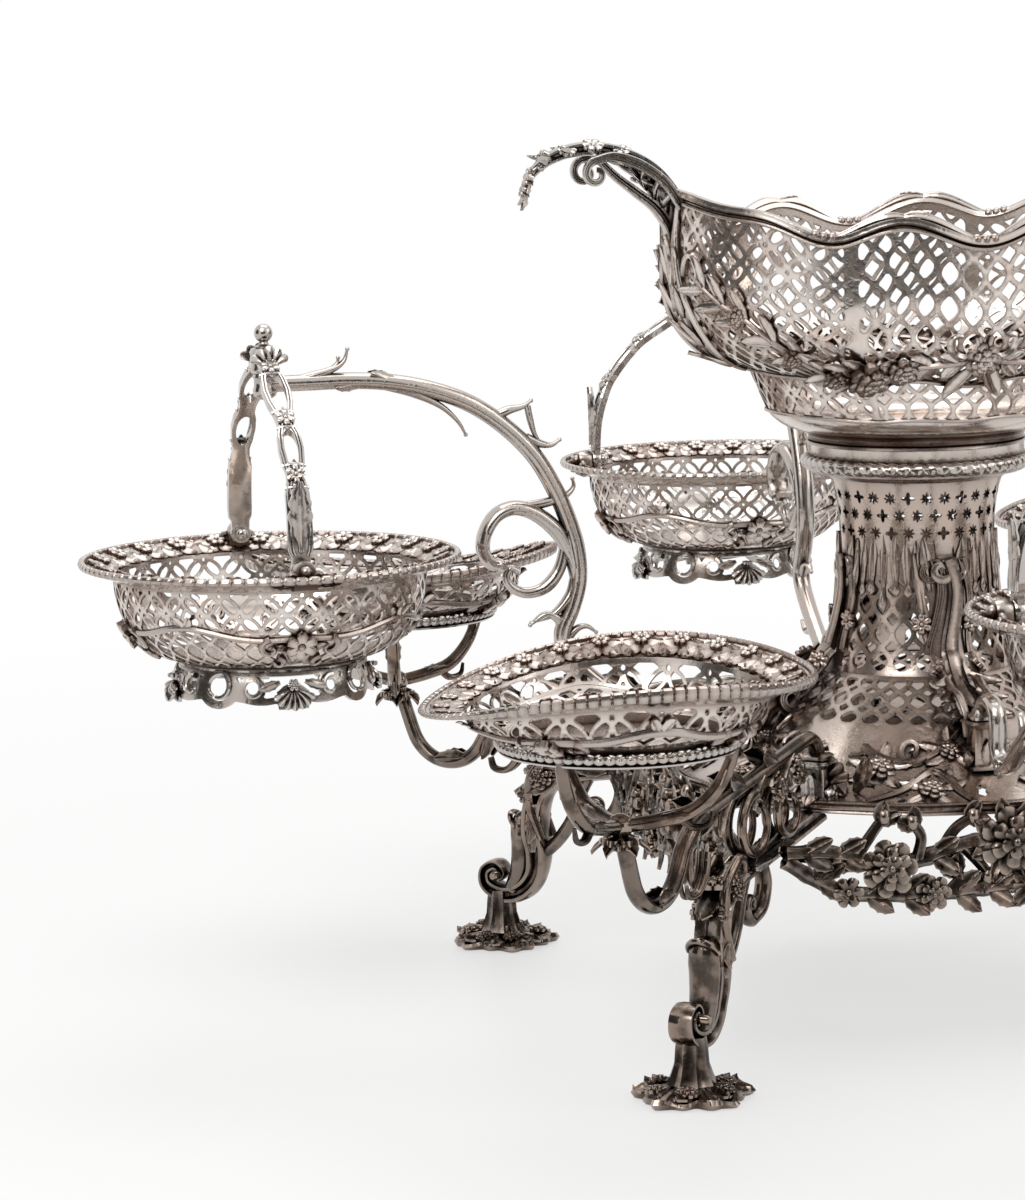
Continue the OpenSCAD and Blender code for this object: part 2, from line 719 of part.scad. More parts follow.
// Upper arms and what hangs from them
module arm(turn) {
    color(warm_silver) rotate([0, 0, turn]) {
        translate([socket_r, 0, 0]) square_post(tenon_w, socket_top - tenon_l, arm_start[1] + arm_bar / 2);
        rod(arm_start, concat(arm_foot, arm_head));
        rod(scroll_start, scroll_steps, 6);
        scroll_eye(chain_end(scroll_start, scroll_steps), 1.3 * scroll_bar);
        rod(curl_start, curl_steps, 6);
        scroll_eye(chain_end(curl_start, curl_steps), 1.3 * scroll_bar);
        translate([basket_reach, 0, 0]) {
            translate([0, 0, arm_tip[1] - boss_rise]) cylinder(r = boss_r, h = 2 * boss_rise);
            translate([0, 0, boss_top])
                cylinder(r = peg_r, h = hub_top + seat_gap + finial_neck + finial_r - boss_top);
        }
    }
}

module finial(turn) {
    foot = hub_top + seat_gap;
    color(bright_silver) rotate([0, 0, turn]) translate([basket_reach, 0, foot]) difference() {
        union() {
            cylinder(r = 0.7 * finial_r, h = finial_neck + finial_r);
            translate([0, 0, finial_neck + finial_r]) sphere(r = finial_r);
        }
        translate([0, 0, -finial_r])
            cylinder(r = peg_r + solder_gap, h = 2 * finial_r + finial_neck + solder_gap);
    }
}

module handle_side() {
    rod([lug_r, pivot_z, 90], handle_steps);
    translate([lug_r - eye_w / 2, 0, pivot_z]) rotate([0, 90, 0]) cylinder(r = eye_r, h = eye_w);
}

module canopy() {
    translate([0, 0, hub_top]) rotate_extrude() polygon([
        [0, -bowl_wall],
        [0, 0],
        [hub_r, 0],
        [canopy_r, -hub_h / 2],
        [canopy_r, -hub_h / 2 - bowl_wall],
        [hub_r - bowl_wall, -bowl_wall],
    ]);
}

module handle(turn) {
    color(bright_silver) rotate([0, 0, turn]) translate([basket_reach, 0, 0]) difference() {
        union() {
            translate([0, 0, hub_z]) cylinder(r = hub_r, h = hub_h);
            canopy();
            for (way = [90, -90]) rotate([0, 0, way]) handle_side();
        }
        translate([0, 0, hub_z - hub_h]) cylinder(r = peg_r + pin_gap, h = 3 * hub_h);
        translate([0, 0, pivot_z]) rotate([90, 0, 0])
            cylinder(r = pin_r + pin_gap, h = 4 * lug_r, center = true);
        translate([0, 0, boss_top - 2 * boss_rise])
            cylinder(r = boss_r + seat_gap, h = 2 * boss_rise + seat_gap);
    }
}

module basket_ear() {
    difference() {
        translate([0, ear_w / 2, 0]) rotate([90, 0, 0]) linear_extrude(ear_w) polygon([
            [ear_in, flare_z(ear_in)],
            [ear_out, flare_z(ear_out)],
            [ear_out, pivot_z + ear_w / 2],
            [ear_in, pivot_z + ear_w / 2],
        ]);
        translate([0, 0, pivot_z]) rotate([0, 90, 0]) cylinder(r = pin_r + solder_gap, h = 2 * lug_r);
    }
}

// A turned bowl with a flat floor, from the line up its outside
module bowl(outside) {
    inside = [for (p = outside) [p[0] - bowl_wall, p[1] + bowl_wall]];
    rotate_extrude() polygon(concat(
        [[0, outside[0][1]]],
        outside,
        reversed(inside),
        [[0, inside[0][1]]]));
}

module basket(turn) {
    color(bright_silver) rotate([0, 0, turn]) translate([basket_reach, 0, 0]) {
        bowl(concat(
            bowl_curve(basket_bottom_r, basket_neck_r, basket_z, basket_neck_z),
            [[basket_r, basket_rim_z]]));
        for (way = [90, -90]) rotate([0, 0, way]) basket_ear();
    }
}

module basket_skirt(turn) {
    top_r = basket_bottom_r - bowl_wall;
    color(warm_silver) rotate([0, 0, turn]) translate([basket_reach, 0, 0]) difference() {
        rotate_extrude() polygon([
            [top_r - bowl_wall, skirt_z + skirt_h],
            [skirt_r - bowl_wall, skirt_z],
            [skirt_r, skirt_z],
            [top_r, skirt_z + skirt_h],
        ]);
        for (way = [45, 135]) rotate([0, 0, way]) translate([0, 0, skirt_z - skirt_arch_r / 4])
            rotate([90, 0, 0]) cylinder(r = skirt_arch_r, h = 3 * skirt_r, center = true);
    }
}

module basket_pin() {
    shank = ear_out - pin_in;
    head = [for (i = [0 : pin_head_steps])
        let (a = pin_head_edge + (180 - pin_head_edge) * i / pin_head_steps)
        pin_ball_r * [sin(a), cos(a) - cos(pin_head_edge)]];
    translate([pin_in, 0, pivot_z]) rotate([0, 90, 0]) rotate_extrude()
        polygon(concat([[0, shank], [pin_r, shank], [pin_r, 0]], head));
}

module basket_pins(turn) {
    color(bright_silver) rotate([0, 0, turn]) translate([basket_reach, 0, 0])
        for (way = [90, -90]) rotate([0, 0, way]) basket_pin();
}

// Lower arms and dishes
module dish_arm(turn) {
    color(dark_silver) rotate([0, 0, turn]) {
        translate([dish_socket_r, 0, 0])
            square_post(tenon_w, dish_socket_top - dish_tenon_l, dish_start[1] + dish_bar / 2);
        rod(dish_start, dish_steps);
        translate([dish_tip[0], 0, 0]) {
            translate([0, 0, dish_tip[1]]) sphere(r = knuckle_r);
            for (way = [0, 120, 240]) rotate([0, 0, way])
                rod(prong_start, prong_steps, 6);
            translate([0, 0, ring_z]) rotate_extrude() translate([ring_r, 0]) circle(r = ring_bar);
        }
    }
}

module dish(turn) {
    color(bright_silver) rotate([0, 0, turn]) translate([dish_tip[0], 0, 0])
        bowl(concat(
            [[dish_foot_r, dish_z]],
            bowl_curve(dish_foot_r, dish_neck_r, dish_shoulder_z, dish_rim_z - dish_flare),
            [[dish_r, dish_rim_z]]));
}

base_plate();
base_moulding();
stem();
stem_buttresses();
collar();
gadroon_ring();
arm_sockets();
dish_sockets();
centre_basket();
centre_foot();
centre_handle(180);  // centre_handle_left
centre_handle(0);  // centre_handle_right
for (side = sides) {
    apron(side[1]);
    arm(side[1]);
    finial(side[1]);
    handle(side[1]);
    basket(side[1]);
    basket_skirt(side[1]);
    basket_pins(side[1]);
}
for (corner = corners) {
    leg(corner[1]);
    dish_arm(corner[1]);
    dish(corner[1]);
}
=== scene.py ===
import math

import bpy
import numpy as np
from mathutils import Matrix, Vector


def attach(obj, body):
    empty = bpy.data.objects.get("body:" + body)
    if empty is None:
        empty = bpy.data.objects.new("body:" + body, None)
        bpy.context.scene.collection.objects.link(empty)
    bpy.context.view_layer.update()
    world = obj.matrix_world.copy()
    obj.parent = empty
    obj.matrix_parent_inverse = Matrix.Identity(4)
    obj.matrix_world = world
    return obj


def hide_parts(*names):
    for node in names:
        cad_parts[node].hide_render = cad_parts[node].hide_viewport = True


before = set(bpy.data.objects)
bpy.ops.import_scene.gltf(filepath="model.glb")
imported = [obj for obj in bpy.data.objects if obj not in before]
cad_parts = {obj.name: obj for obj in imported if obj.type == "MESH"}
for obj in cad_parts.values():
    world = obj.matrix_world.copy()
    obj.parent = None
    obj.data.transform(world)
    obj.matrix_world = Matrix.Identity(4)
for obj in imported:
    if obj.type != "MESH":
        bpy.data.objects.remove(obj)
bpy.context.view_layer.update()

MM = 0.001
SIDES = {"right": 0, "back": 90, "left": 180, "front": 270}
CORNERS = {"back_right": 45, "back_left": 135, "front_left": 225, "front_right": 315}
TAU = 2 * math.pi
X, Y, Z = np.eye(3)

# Places and lengths of the model in mm
DOME_R, DOME_Z, STEM_Z, COLLAR_Z, FOOT_Z = 104, 97, 141.05, 224.1, 237.4
BASKET_X, BASKET_Z, BASKET_RIM, PIVOT_Z, HUB_Z = 279.07, 161.62, 200.62, 203.62, 276.29
DISH_X, DISH_Z, DISH_RIM, RING_Z = 262.0, 147.96, 168.96, 149.66
LEG_X = 208.26
CENTRE_Z, CENTRE_RIM, CENTRE_L = 241.45, 327.95, 118
STEM_H, STEM_R, STRAP_L = 83, 33, 107
DIAGONAL = 0.7071


# Shapes

class Shape:
    """Points in mm with faces, gathered until they become one mesh."""

    def __init__(self):
        self.points, self.faces, self.count = [], [], 0

    def add(self, points, *faces):
        points = np.asarray(points, float).reshape(-1, 3)
        self.points.append(points)
        self.faces += [np.asarray(f, int) + self.count for f in faces if len(f)]
        self.count += len(points)

    def put(self, other, place):
        """Adds a copy of another shape, moved by a 4x4 matrix."""
        points = np.concatenate(other.points)
        self.add(points @ place[:3, :3].T + place[:3, 3], *other.faces)

    def bend(self, move):
        """Moves every point by a function of an (n, 3) array."""
        self.points = [move(p) for p in self.points]

    def mesh(self, name, material):
        points = np.concatenate(self.points) * MM
        sizes = np.concatenate([np.full(len(f), f.shape[1]) for f in self.faces])
        corners = np.concatenate([f.ravel() for f in self.faces])
        made = bpy.data.meshes.new(name)
        made.vertices.add(len(points))
        made.vertices.foreach_set("co", points.ravel())
        made.loops.add(len(corners))
        made.loops.foreach_set("vertex_index", corners)
        made.polygons.add(len(sizes))
        made.polygons.foreach_set("loop_start", np.cumsum(sizes) - sizes)
        made.polygons.foreach_set("use_smooth", np.ones(len(sizes), bool))
        made.update(calc_edges=True)
        made.validate()
        made.set_sharp_from_angle(angle=math.radians(42))
        made.materials.append(material)
        return made


def unit(v):
    v = np.asarray(v, float)
    return v / np.linalg.norm(v, axis=-1, keepdims=True)


def at(point, along=X, up=Z):
    """A place: x runs along, z points up as far as it can."""
    x = unit(along)
    up = np.asarray(up, float)
    z = unit(up - x * (x @ up))
    place = np.eye(4)
    place[:3, 0], place[:3, 1], place[:3, 2], place[:3, 3] = x, np.cross(z, x), z, point
    return place


def lengths(points):
    """Length along a path at each of its points."""
    return np.concatenate([[0], np.cumsum(np.linalg.norm(np.diff(points, axis=0), axis=1))])


def quarter_turn(a):
    """Angle from the nearest of four sides."""
    return (a + TAU / 8) % (TAU / 4) - TAU / 8


def apart(a, c):
    """Angle from c, between minus and plus half a turn."""
    return (a - c + math.pi) % TAU - math.pi


def polar(angle):
    """Directions outward and round at an angle about the upright axis."""
    c, s = math.cos(angle), math.sin(angle)
    return np.array([c, s, 0]), np.array([-s, c, 0])


def turned(angle, x=0.0):
    """A turn about the upright axis through (x, 0)."""
    c, s = math.cos(angle), math.sin(angle)
    return np.array([[c, -s, 0, x - c * x], [s, c, 0, -s * x], [0, 0, 1, 0], [0, 0, 0, 1.0]])


def quads(n, m, wrap_n=False, wrap_m=False):
    i, j = np.meshgrid(np.arange(n if wrap_n else n - 1), np.arange(m if wrap_m else m - 1), indexing="ij")
    i2, j2 = (i + 1) % n, (j + 1) % m
    return np.stack([i * m + j, i2 * m + j, i2 * m + j2, i * m + j2], -1).reshape(-1, 4)


def spline(points, n):
    """n evenly spaced points on a smooth curve through the given ones."""
    p = np.asarray(points, float)
    p = np.concatenate([[2 * p[0] - p[1]], p, [2 * p[-1] - p[-2]]])
    t = np.linspace(0, 1, 12, endpoint=False)[:, None]
    runs = []
    for a, b, c, d in zip(p, p[1:], p[2:], p[3:]):
        square, cube = 2 * a - 5 * b + 4 * c - d, 3 * b - a - 3 * c + d
        runs.append(0.5 * (2 * b + (c - a) * t + square * t ** 2 + cube * t ** 3))
    curve = np.concatenate(runs + [p[-2:-1]])
    length = lengths(curve)
    want = np.linspace(0, length[-1], n)
    return np.stack([np.interp(want, length, curve[:, k]) for k in range(curve.shape[1])], 1)


def flat(points, x=None):
    """Plane points (r, z) in the radial plane, or (y, z) in the plane across it at x."""
    p = np.asarray(points, float)
    o = np.zeros(len(p))
    return np.stack([p[:, 0], o, p[:, 1]], 1) if x is None else np.stack([o + x, p[:, 0], p[:, 1]], 1)


def volute(centre, start, r0, r1, turn, n=22):
    """Plane points on a spiral from angle start (degrees) through turn."""
    t = np.linspace(0, 1, n)
    a = np.radians(start + turn * t)
    r = r0 + (r1 - r0) * t ** 0.8
    return np.stack([centre[0] + r * np.cos(a), centre[1] + r * np.sin(a)], 1)


def scroll(points, n, *end):
    """Plane points on a smooth curve that runs into a spiral."""
    return np.concatenate([spline(points, n), volute(*end)[1:]])


def circle(k):
    a = np.arange(k) * TAU / k
    return np.stack([np.cos(a), np.sin(a)], 1)


ROUND, SMOOTH = circle(8), circle(14)
HALF_REED = np.array([[1, .3], [.8, .72], [.45, .72], [.15, .38]])
REED = np.concatenate([HALF_REED, HALF_REED[::-1] * [-1, 1], -HALF_REED, HALF_REED[::-1] * [1, -1]])
FLUTE = circle(20) * (1 - 0.13 * np.cos(np.arange(20) * TAU / 4))[:, None]


def sweep(shape, path, radius, section=ROUND, side=None, wide=1.0):
    """A bar along a path. side stays across the bar, and wide stretches the bar that way."""
    path = np.asarray(path, float)
    n, k = len(path), len(section)
    along = unit(np.gradient(path, axis=0))
    if side is None:
        across = [unit(np.cross(along[0], Z if abs(along[0][2]) < 0.9 else X))]
        for t in along[1:]:
            across.append(unit(across[-1] - t * (across[-1] @ t)))
        across = np.array(across)
    else:
        side = np.asarray(side, float)
        across = unit(side - along * (along @ side)[:, None])
    out = np.cross(across, along)
    r = np.broadcast_to(np.asarray(radius, float), (n,))[:, None, None]
    w = np.broadcast_to(np.asarray(wide, float), (n,))[:, None, None]
    spread = section[None, :, :1] * out[:, None] + w * section[None, :, 1:] * across[:, None]
    shape.add(path[:, None] + r * spread, quads(n, k, wrap_m=True)[:, ::-1], [np.arange(k)[::-1]],
              [np.arange(k) + (n - 1) * k])


def graded(n, shares, sizes):
    """n sizes along a bar that pass through the given ones at the given shares of its length."""
    return np.interp(np.linspace(0, 1, n), shares, sizes)


def taper(n, start, middle, end):
    return graded(n, [0, 0.35, 1], [start, middle, end])


def revolve(p, n):
    """Grid of a profile (r, z) turned about the upright axis, and the angles of its rows."""
    a = np.arange(n) * TAU / n
    levels = np.broadcast_to(p[:, 1], (n, len(p)))
    return np.stack([np.outer(np.cos(a), p[:, 0]), np.outer(np.sin(a), p[:, 0]), levels], -1), a


def scalloped(depth, count):
    """A wave for lathe that flutes a form round its axis."""
    return lambda grid, a: grid * (1 + np.array([1, 1, 0]) * depth * np.cos(count * a)[..., None])


def lathe(shape, profile, n=64, x=0.0, closed=False, wave=None, z=0.0):
    """A form turned about the upright axis through (x, 0). Its profile (r, height over z) runs up outside."""
    p = np.asarray(profile, float) + [0, z]
    grid, a = revolve(p, n)
    if wave is not None:
        grid = wave(grid, a[:, None])
    grid[..., 0] += x
    m = len(p)
    ends = [] if closed else [[np.arange(n)[::-1] * m], [np.arange(n) * m + m - 1]]
    shape.add(grid, quads(n, m, True, closed), *ends)


def ring(shape, radius, z, tube, n, x=0.0, k=10, ripple=None, squash=1.0):
    """A ring of round section; ripple(angle round, angle of section) scales the section."""
    a, b = np.meshgrid(np.arange(n) * TAU / n, np.arange(k) * TAU / k, indexing="ij")
    r = tube * (1 if ripple is None else ripple(a, b))
    out = radius + r * np.cos(b)
    shape.add(np.stack([x + out * np.cos(a), out * np.sin(a), z + squash * r * np.sin(b)], -1),
              quads(n, k, True, True))


def bead(shape, centre, r, high=1.0):
    a = np.radians(np.linspace(-75, 75, 6))
    small = Shape()
    lathe(small, np.stack([r * np.cos(a), high * r * np.sin(a)], 1), 9)
    shape.put(small, at(centre))


def sheet(top, n, m, thick, order):
    """A plate under an n by m grid of points; order is -1 where the grid runs clockwise from above."""
    count = n * m
    rim = np.concatenate([np.arange(n) * m, (n - 1) * m + np.arange(1, m),
                          np.arange(n - 2, -1, -1) * m + m - 1, np.arange(m - 2, 0, -1)])
    edge = np.stack([np.roll(rim, -1), rim, rim + count, np.roll(rim, -1) + count], 1)
    made = Shape()
    made.add(np.concatenate([top, top - [0, 0, thick]]), quads(n, m)[:, ::order],
             quads(n, m)[:, ::-order] + count, edge[:, ::order])
    return made


def leaf(length, width, lift=0.25, lobes=4, thick=0.6, n=13, m=7):
    """An acanthus leaf along +x, with lobes, a rib and veins, and its tip lifted."""
    s, t = np.meshgrid(np.linspace(0, 1, n), np.linspace(-1, 1, m), indexing="ij")
    lobe = 0.74 + 0.26 * np.abs(np.cos(lobes * math.pi * s))
    half = width / 2 * (np.sin(math.pi * np.clip(s, 0.04, 0.985) ** 0.8) ** 0.65 * lobe)
    x = length * (s + 0.10 * np.abs(t) * np.sin(math.pi * s))
    z = length * lift * s ** 2.2 + width * (0.16 * (1 - np.abs(t)) - 0.05 * np.abs(np.sin(2 * math.pi * t)))
    top = np.stack([x, half * t, z], -1).reshape(-1, 3)
    return sheet(top, n, m, thick, 1)


def flower(r, petals=6, high=0.3, seed=0.26):
    """A cast blossom facing +z, with cupped petals and a seed in the middle."""
    n, m = petals * 6, 6
    a, s = np.meshgrid(np.arange(n) * TAU / n, np.linspace(0.16, 1, m), indexing="ij")
    petal = np.abs(np.cos(petals * a / 2))
    out = r * s * (0.70 + 0.30 * petal ** 0.55)
    z = r * high * (0.45 + 0.75 * np.sin(2.2 * s) - 0.55 * s * (1 - petal) - 0.25 * s * s * petal ** 6)
    made = Shape()
    grid = np.stack([out * np.cos(a), out * np.sin(a), z], -1)
    low = grid[:, -1] * [0.94, 0.94, 0] - [0, 0, 0.08 * r]
    rows = np.concatenate([low[:, None], grid[:, ::-1]], 1)
    made.add(rows, quads(n, m + 1, True), [np.arange(n)[::-1] * (m + 1)], [np.arange(n) * (m + 1) + m])
    bead(made, (0, 0, r * high * 0.62), seed * r, 0.9)
    return made


def blossom(r):
    """A full garden flower: three rings of petals, each smaller and higher."""
    made = flower(r, 7, 0.22, 0.1)
    for size, lift, petals, spin in ((0.74, 0.16, 6, 0.4), (0.46, 0.34, 5, 0.9)):
        place = turned(spin)
        place[:3, :3] *= size
        place[2, 3] = lift * r
        made.put(flower(r, petals, 0.36, 0.3), place)
    return made


def shell(r, ribs=7, high=0.3):
    """A fluted scallop fan along +x."""
    n, m = ribs * 4 + 1, 6
    a, s = np.meshgrid(np.linspace(-1.25, 1.25, n), np.linspace(0.12, 1, m), indexing="ij")
    rib = np.abs(np.cos(a / 1.25 * ribs * math.pi / 2))
    out = r * s * (0.88 + 0.12 * rib)
    z = r * high * (0.35 + np.sin(2.4 * s) * (0.55 + 0.45 * rib)) - 0.25 * r * high
    top = np.stack([out * np.cos(a), out * np.sin(a), z], -1).reshape(-1, 3)
    return sheet(top, n, m, 0.12 * r, -1)


# Saw-pierced sheet

CELLS = {1: [[0, 4, 7]], 2: [[1, 5, 4]], 3: [[0, 1, 5, 7]], 4: [[2, 6, 5]], 5: [[0, 4, 7], [2, 6, 5]],
         6: [[1, 2, 6, 4]], 7: [[0, 1, 2, 6, 7]], 8: [[3, 7, 6]], 9: [[0, 4, 6, 3]],
         10: [[1, 5, 4], [3, 7, 6]], 11: [[0, 1, 5, 6, 3]], 12: [[2, 3, 7, 5]], 13: [[0, 4, 5, 2, 3]],
         14: [[1, 2, 3, 7, 4]], 15: [[0, 1, 2, 3]]}


def joined(field, wrap):
    """The field with each bit of metal that hangs on nothing turned into a hole."""
    metal = field > 0
    label = np.where(metal, np.arange(1, field.size + 1).reshape(field.shape), 0)
    while True:
        spread = label.copy()
        for axis in (0, 1):
            for step in (1, -1):
                moved = np.roll(spread, step, axis)
                if axis or not wrap:
                    edge = 0 if step == 1 else -1
                    moved[(slice(None), edge) if axis else edge] = 0
                spread = np.where(metal, np.maximum(spread, moved), 0)
        if (spread == label).all():
            break
        label = spread
    main = np.bincount(label[metal]).argmax()
    return np.where(metal & (label != main), -0.1, field)


def pierced(shape, outer, inner, field, wrap=True):
    """A sheet between two grids of points, cut along the zero line of a field that is positive in metal."""
    field = joined(field, wrap)
    n, m = field.shape
    f = np.array(field, float)
    f[np.abs(f) < 1e-4] = 1e-4
    inside = f > 0
    i, j = np.meshgrid(np.arange(n if wrap else n - 1), np.arange(m - 1), indexing="ij")
    i, j = i.ravel(), j.ravel()
    i2 = (i + 1) % n
    count = n * m
    corner = [i * m + j, i2 * m + j, i2 * m + j + 1, i * m + j + 1]
    edge = [count + i * m + j, 2 * count + i2 * m + j, count + i * m + j + 1, 2 * count + i * m + j]
    index = np.stack(corner + edge, 1)
    code = sum(inside.ravel()[c] * 2 ** k for k, c in enumerate(corner))

    def between(a, fa, b, fb):
        t = np.clip(fa / np.where(fa - fb == 0, 1, fa - fb), 0.06, 0.94)
        return a + (b - a) * t[..., None]

    def whole(grid):
        nxt, up = np.roll(grid, -1, 0), np.roll(grid, -1, 1)
        f_nxt, f_up = np.roll(f, -1, 0), np.roll(f, -1, 1)
        return np.concatenate([grid.reshape(-1, 3), between(grid, f, nxt, f_nxt).reshape(-1, 3),
                               between(grid, f, up, f_up).reshape(-1, 3)])

    faces, cuts = {}, []
    for key, polygons in CELLS.items():
        cells = index[code == key]
        for polygon in polygons:
            faces.setdefault(len(polygon), []).append(cells[:, polygon])
            for a, b in zip(polygon, polygon[1:] + polygon[:1]):
                if a > 3 and b > 3:
                    cuts.append(cells[:, [a, b]])
    last = m - 1
    ring_a, ring_b = np.arange(n if wrap else n - 1), (np.arange(n if wrap else n - 1) + 1) % n
    for a, b, row in ((ring_a, ring_b, 0), (ring_b, ring_a, last)):
        solid = inside[a, row] & inside[b, row]
        cuts.append(np.stack([a[solid] * m + row, b[solid] * m + row], 1))
    if not wrap:
        for a, b, row in ((np.arange(1, m), np.arange(m - 1), 0), (np.arange(m - 1), np.arange(1, m), n - 1)):
            solid = inside[row, a] & inside[row, b]
            cuts.append(np.stack([row * m + a[solid], row * m + b[solid]], 1))
    cuts = np.concatenate(cuts)
    tops = {k: np.concatenate(v) for k, v in faces.items()}
    used = np.unique(np.concatenate([t.ravel() for t in tops.values()]))
    new = np.zeros(3 * count, int)
    new[used] = np.arange(len(used))
    points = np.concatenate([whole(outer)[used], whole(inner)[used]])
    out = []
    for top in tops.values():
        out += [new[top], new[top][:, ::-1] + len(used)]
    a, b = new[cuts[:, 0]], new[cuts[:, 1]]
    out.append(np.stack([b, a, a + len(used), b + len(used)], 1))
    shape.add(points, *out)


def turned_wall(profile, n, x=0.0, thick=1.0):
    """Outer and inner grids of a turned wall, and arc coordinates (angle, length along the profile)."""
    p = np.asarray(profile, float)
    slope = unit(np.gradient(p, axis=0))
    outer, a = revolve(p, n)
    inner = revolve(p + thick * np.stack([-slope[:, 1], slope[:, 0]], 1), n)[0]
    for grid in (outer, inner):
        grid[..., 0] += x
    return outer, inner, np.meshgrid(a, lengths(p), indexing="ij")


def either(*fields):
    made = fields[0]
    for f in fields[1:]:
        made = np.maximum(made, f)
    return made


def circles(x, y, pitch, line, eye):
    """Interlaced circles set cornerwise, which leave rosettes of four petals round a pierced eye."""
    u, v = (x + y) * DIAGONAL % pitch, (y - x) * DIAGONAL % pitch
    near = [np.abs(np.hypot(u - a, v - b) - pitch * DIAGONAL) for a in (0, pitch) for b in (0, pitch)]
    node = np.hypot(u - pitch / 2, v - pitch / 2)
    return np.minimum(either(line / 2 - np.minimum.reduce(near), eye + line - node), node - eye)


def ogees(x, y, wide, tall, line):
    """Wavy uprights that meet and part, which leave pointed ovals."""
    swing = wide / 2 * np.sin(math.pi * y / tall)
    steep = np.sqrt(1 + (wide / 2 * math.pi / tall * np.cos(math.pi * y / tall)) ** 2)
    near = [np.abs((x - way * swing + wide / 2) % wide - wide / 2) / steep for way in (1, -1)]
    return line / 2 - np.minimum(*near)


def star(x, y, r, points=8):
    """Negative inside a star-shaped hole."""
    a = np.arctan2(y, x)
    return np.hypot(x, y) - r * (0.68 + 0.32 * np.cos(points * a))


def quatrefoil(x, y, r):
    return np.minimum.reduce([np.hypot(x - r * math.cos(a), y - r * math.sin(a)) - 0.62 * r
                              for a in np.arange(4) * TAU / 4 + 0.6])


def chain(start, steps, pitch=2.0):
    """Plane points along straight runs (0, length) and bends (radius, degrees, left positive)."""
    x, z, h = start[0], start[1], math.radians(start[2])
    points = [(x, z)]
    for bend, amount in steps:
        turn = 0.0 if bend == 0 else math.radians(amount)
        length = amount if bend == 0 else bend * abs(turn)
        n = max(2, int(length / pitch))
        for _ in range(n):
            h += turn / n / 2
            x, z = x + length / n * math.cos(h), z + length / n * math.sin(h)
            h += turn / n / 2
            points.append((x, z))
    return np.array(points)


def slab(shape, outline, thick, place):
    """A flat plate from an outline in the xy plane, with softened edges."""
    p = np.asarray(outline, float)
    k = len(p)
    mid = p.mean(0)
    soft = mid + (p - mid) * (1 - 0.5 / np.linalg.norm(p - mid, axis=1, keepdims=True))
    rows = [(soft, 0), (p, 0.18), (p, 0.82), (soft, 1)]
    rings = np.stack([np.concatenate([q, np.full((k, 1), thick * h)], 1) for q, h in rows])
    made = Shape()
    made.add(rings, quads(4, k, wrap_m=True)[:, ::-1], [np.arange(k)[::-1]], [np.arange(k) + 3 * k])
    shape.put(made, place)


def square_post(shape, x, profile):
    """A square post at (x, 0): half width at each height, with rounded corners."""
    a = np.arange(24) * TAU / 24
    c, s = np.cos(a), np.sin(a)
    reach = (np.abs(c) ** 7 + np.abs(s) ** 7) ** (-1 / 7)
    p = np.asarray(profile, float)
    rings = np.stack([np.stack([x + h * reach * c, h * reach * s, np.full(24, z)], 1) for h, z in p])
    shape.add(rings, quads(len(p), 24, wrap_m=True)[:, ::-1], [np.arange(24)[::-1]],
              [np.arange(24) + (len(p) - 1) * 24])


class Wall:
    """Points on a turned wall by angle and by length along its profile."""

    def __init__(self, profile, x=0.0):
        self.p, self.x = np.asarray(profile, float), x
        self.along = lengths(self.p)
        self.slope = unit(np.gradient(self.p, axis=0))

    def read(self, s, pairs):
        return [np.interp(s, self.along, pairs[:, k]) for k in (0, 1)]

    def point(self, a, s, lift=0.0):
        a, s = np.broadcast_arrays(np.asarray(a, float), np.asarray(s, float))
        r, z = self.read(s, self.p)
        return np.stack([self.x + r * np.cos(a), r * np.sin(a), z], -1) + lift * self.out(a, s)

    def out(self, a, s):
        sr, sz = self.read(s, self.slope)
        return unit(np.stack([sz * np.cos(a), sz * np.sin(a), -sr], -1))

    def up(self, a, s):
        sr, sz = self.read(s, self.slope)
        return unit(np.stack([sr * np.cos(a), sr * np.sin(a), sz], -1))


NECK = -9    # Place of the neck in a bowl's profile, before the eight points of the flare


def bowl_profile(foot_r, low, neck, rim, m):
    """A quarter oval up to the neck (r, z) and a broad flare out to the rim (r, z)."""
    a = np.linspace(0, math.pi / 2, m)
    curve = np.stack([foot_r + (neck[0] - foot_r) * np.sin(a), low + (neck[1] - low) * (1 - np.cos(a))], 1)
    t = np.linspace(0, 1, 9)[1:, None]
    return np.concatenate([curve, curve[-1] + (np.array(rim) - curve[-1]) * np.concatenate([t, t ** 1.3], 1)])


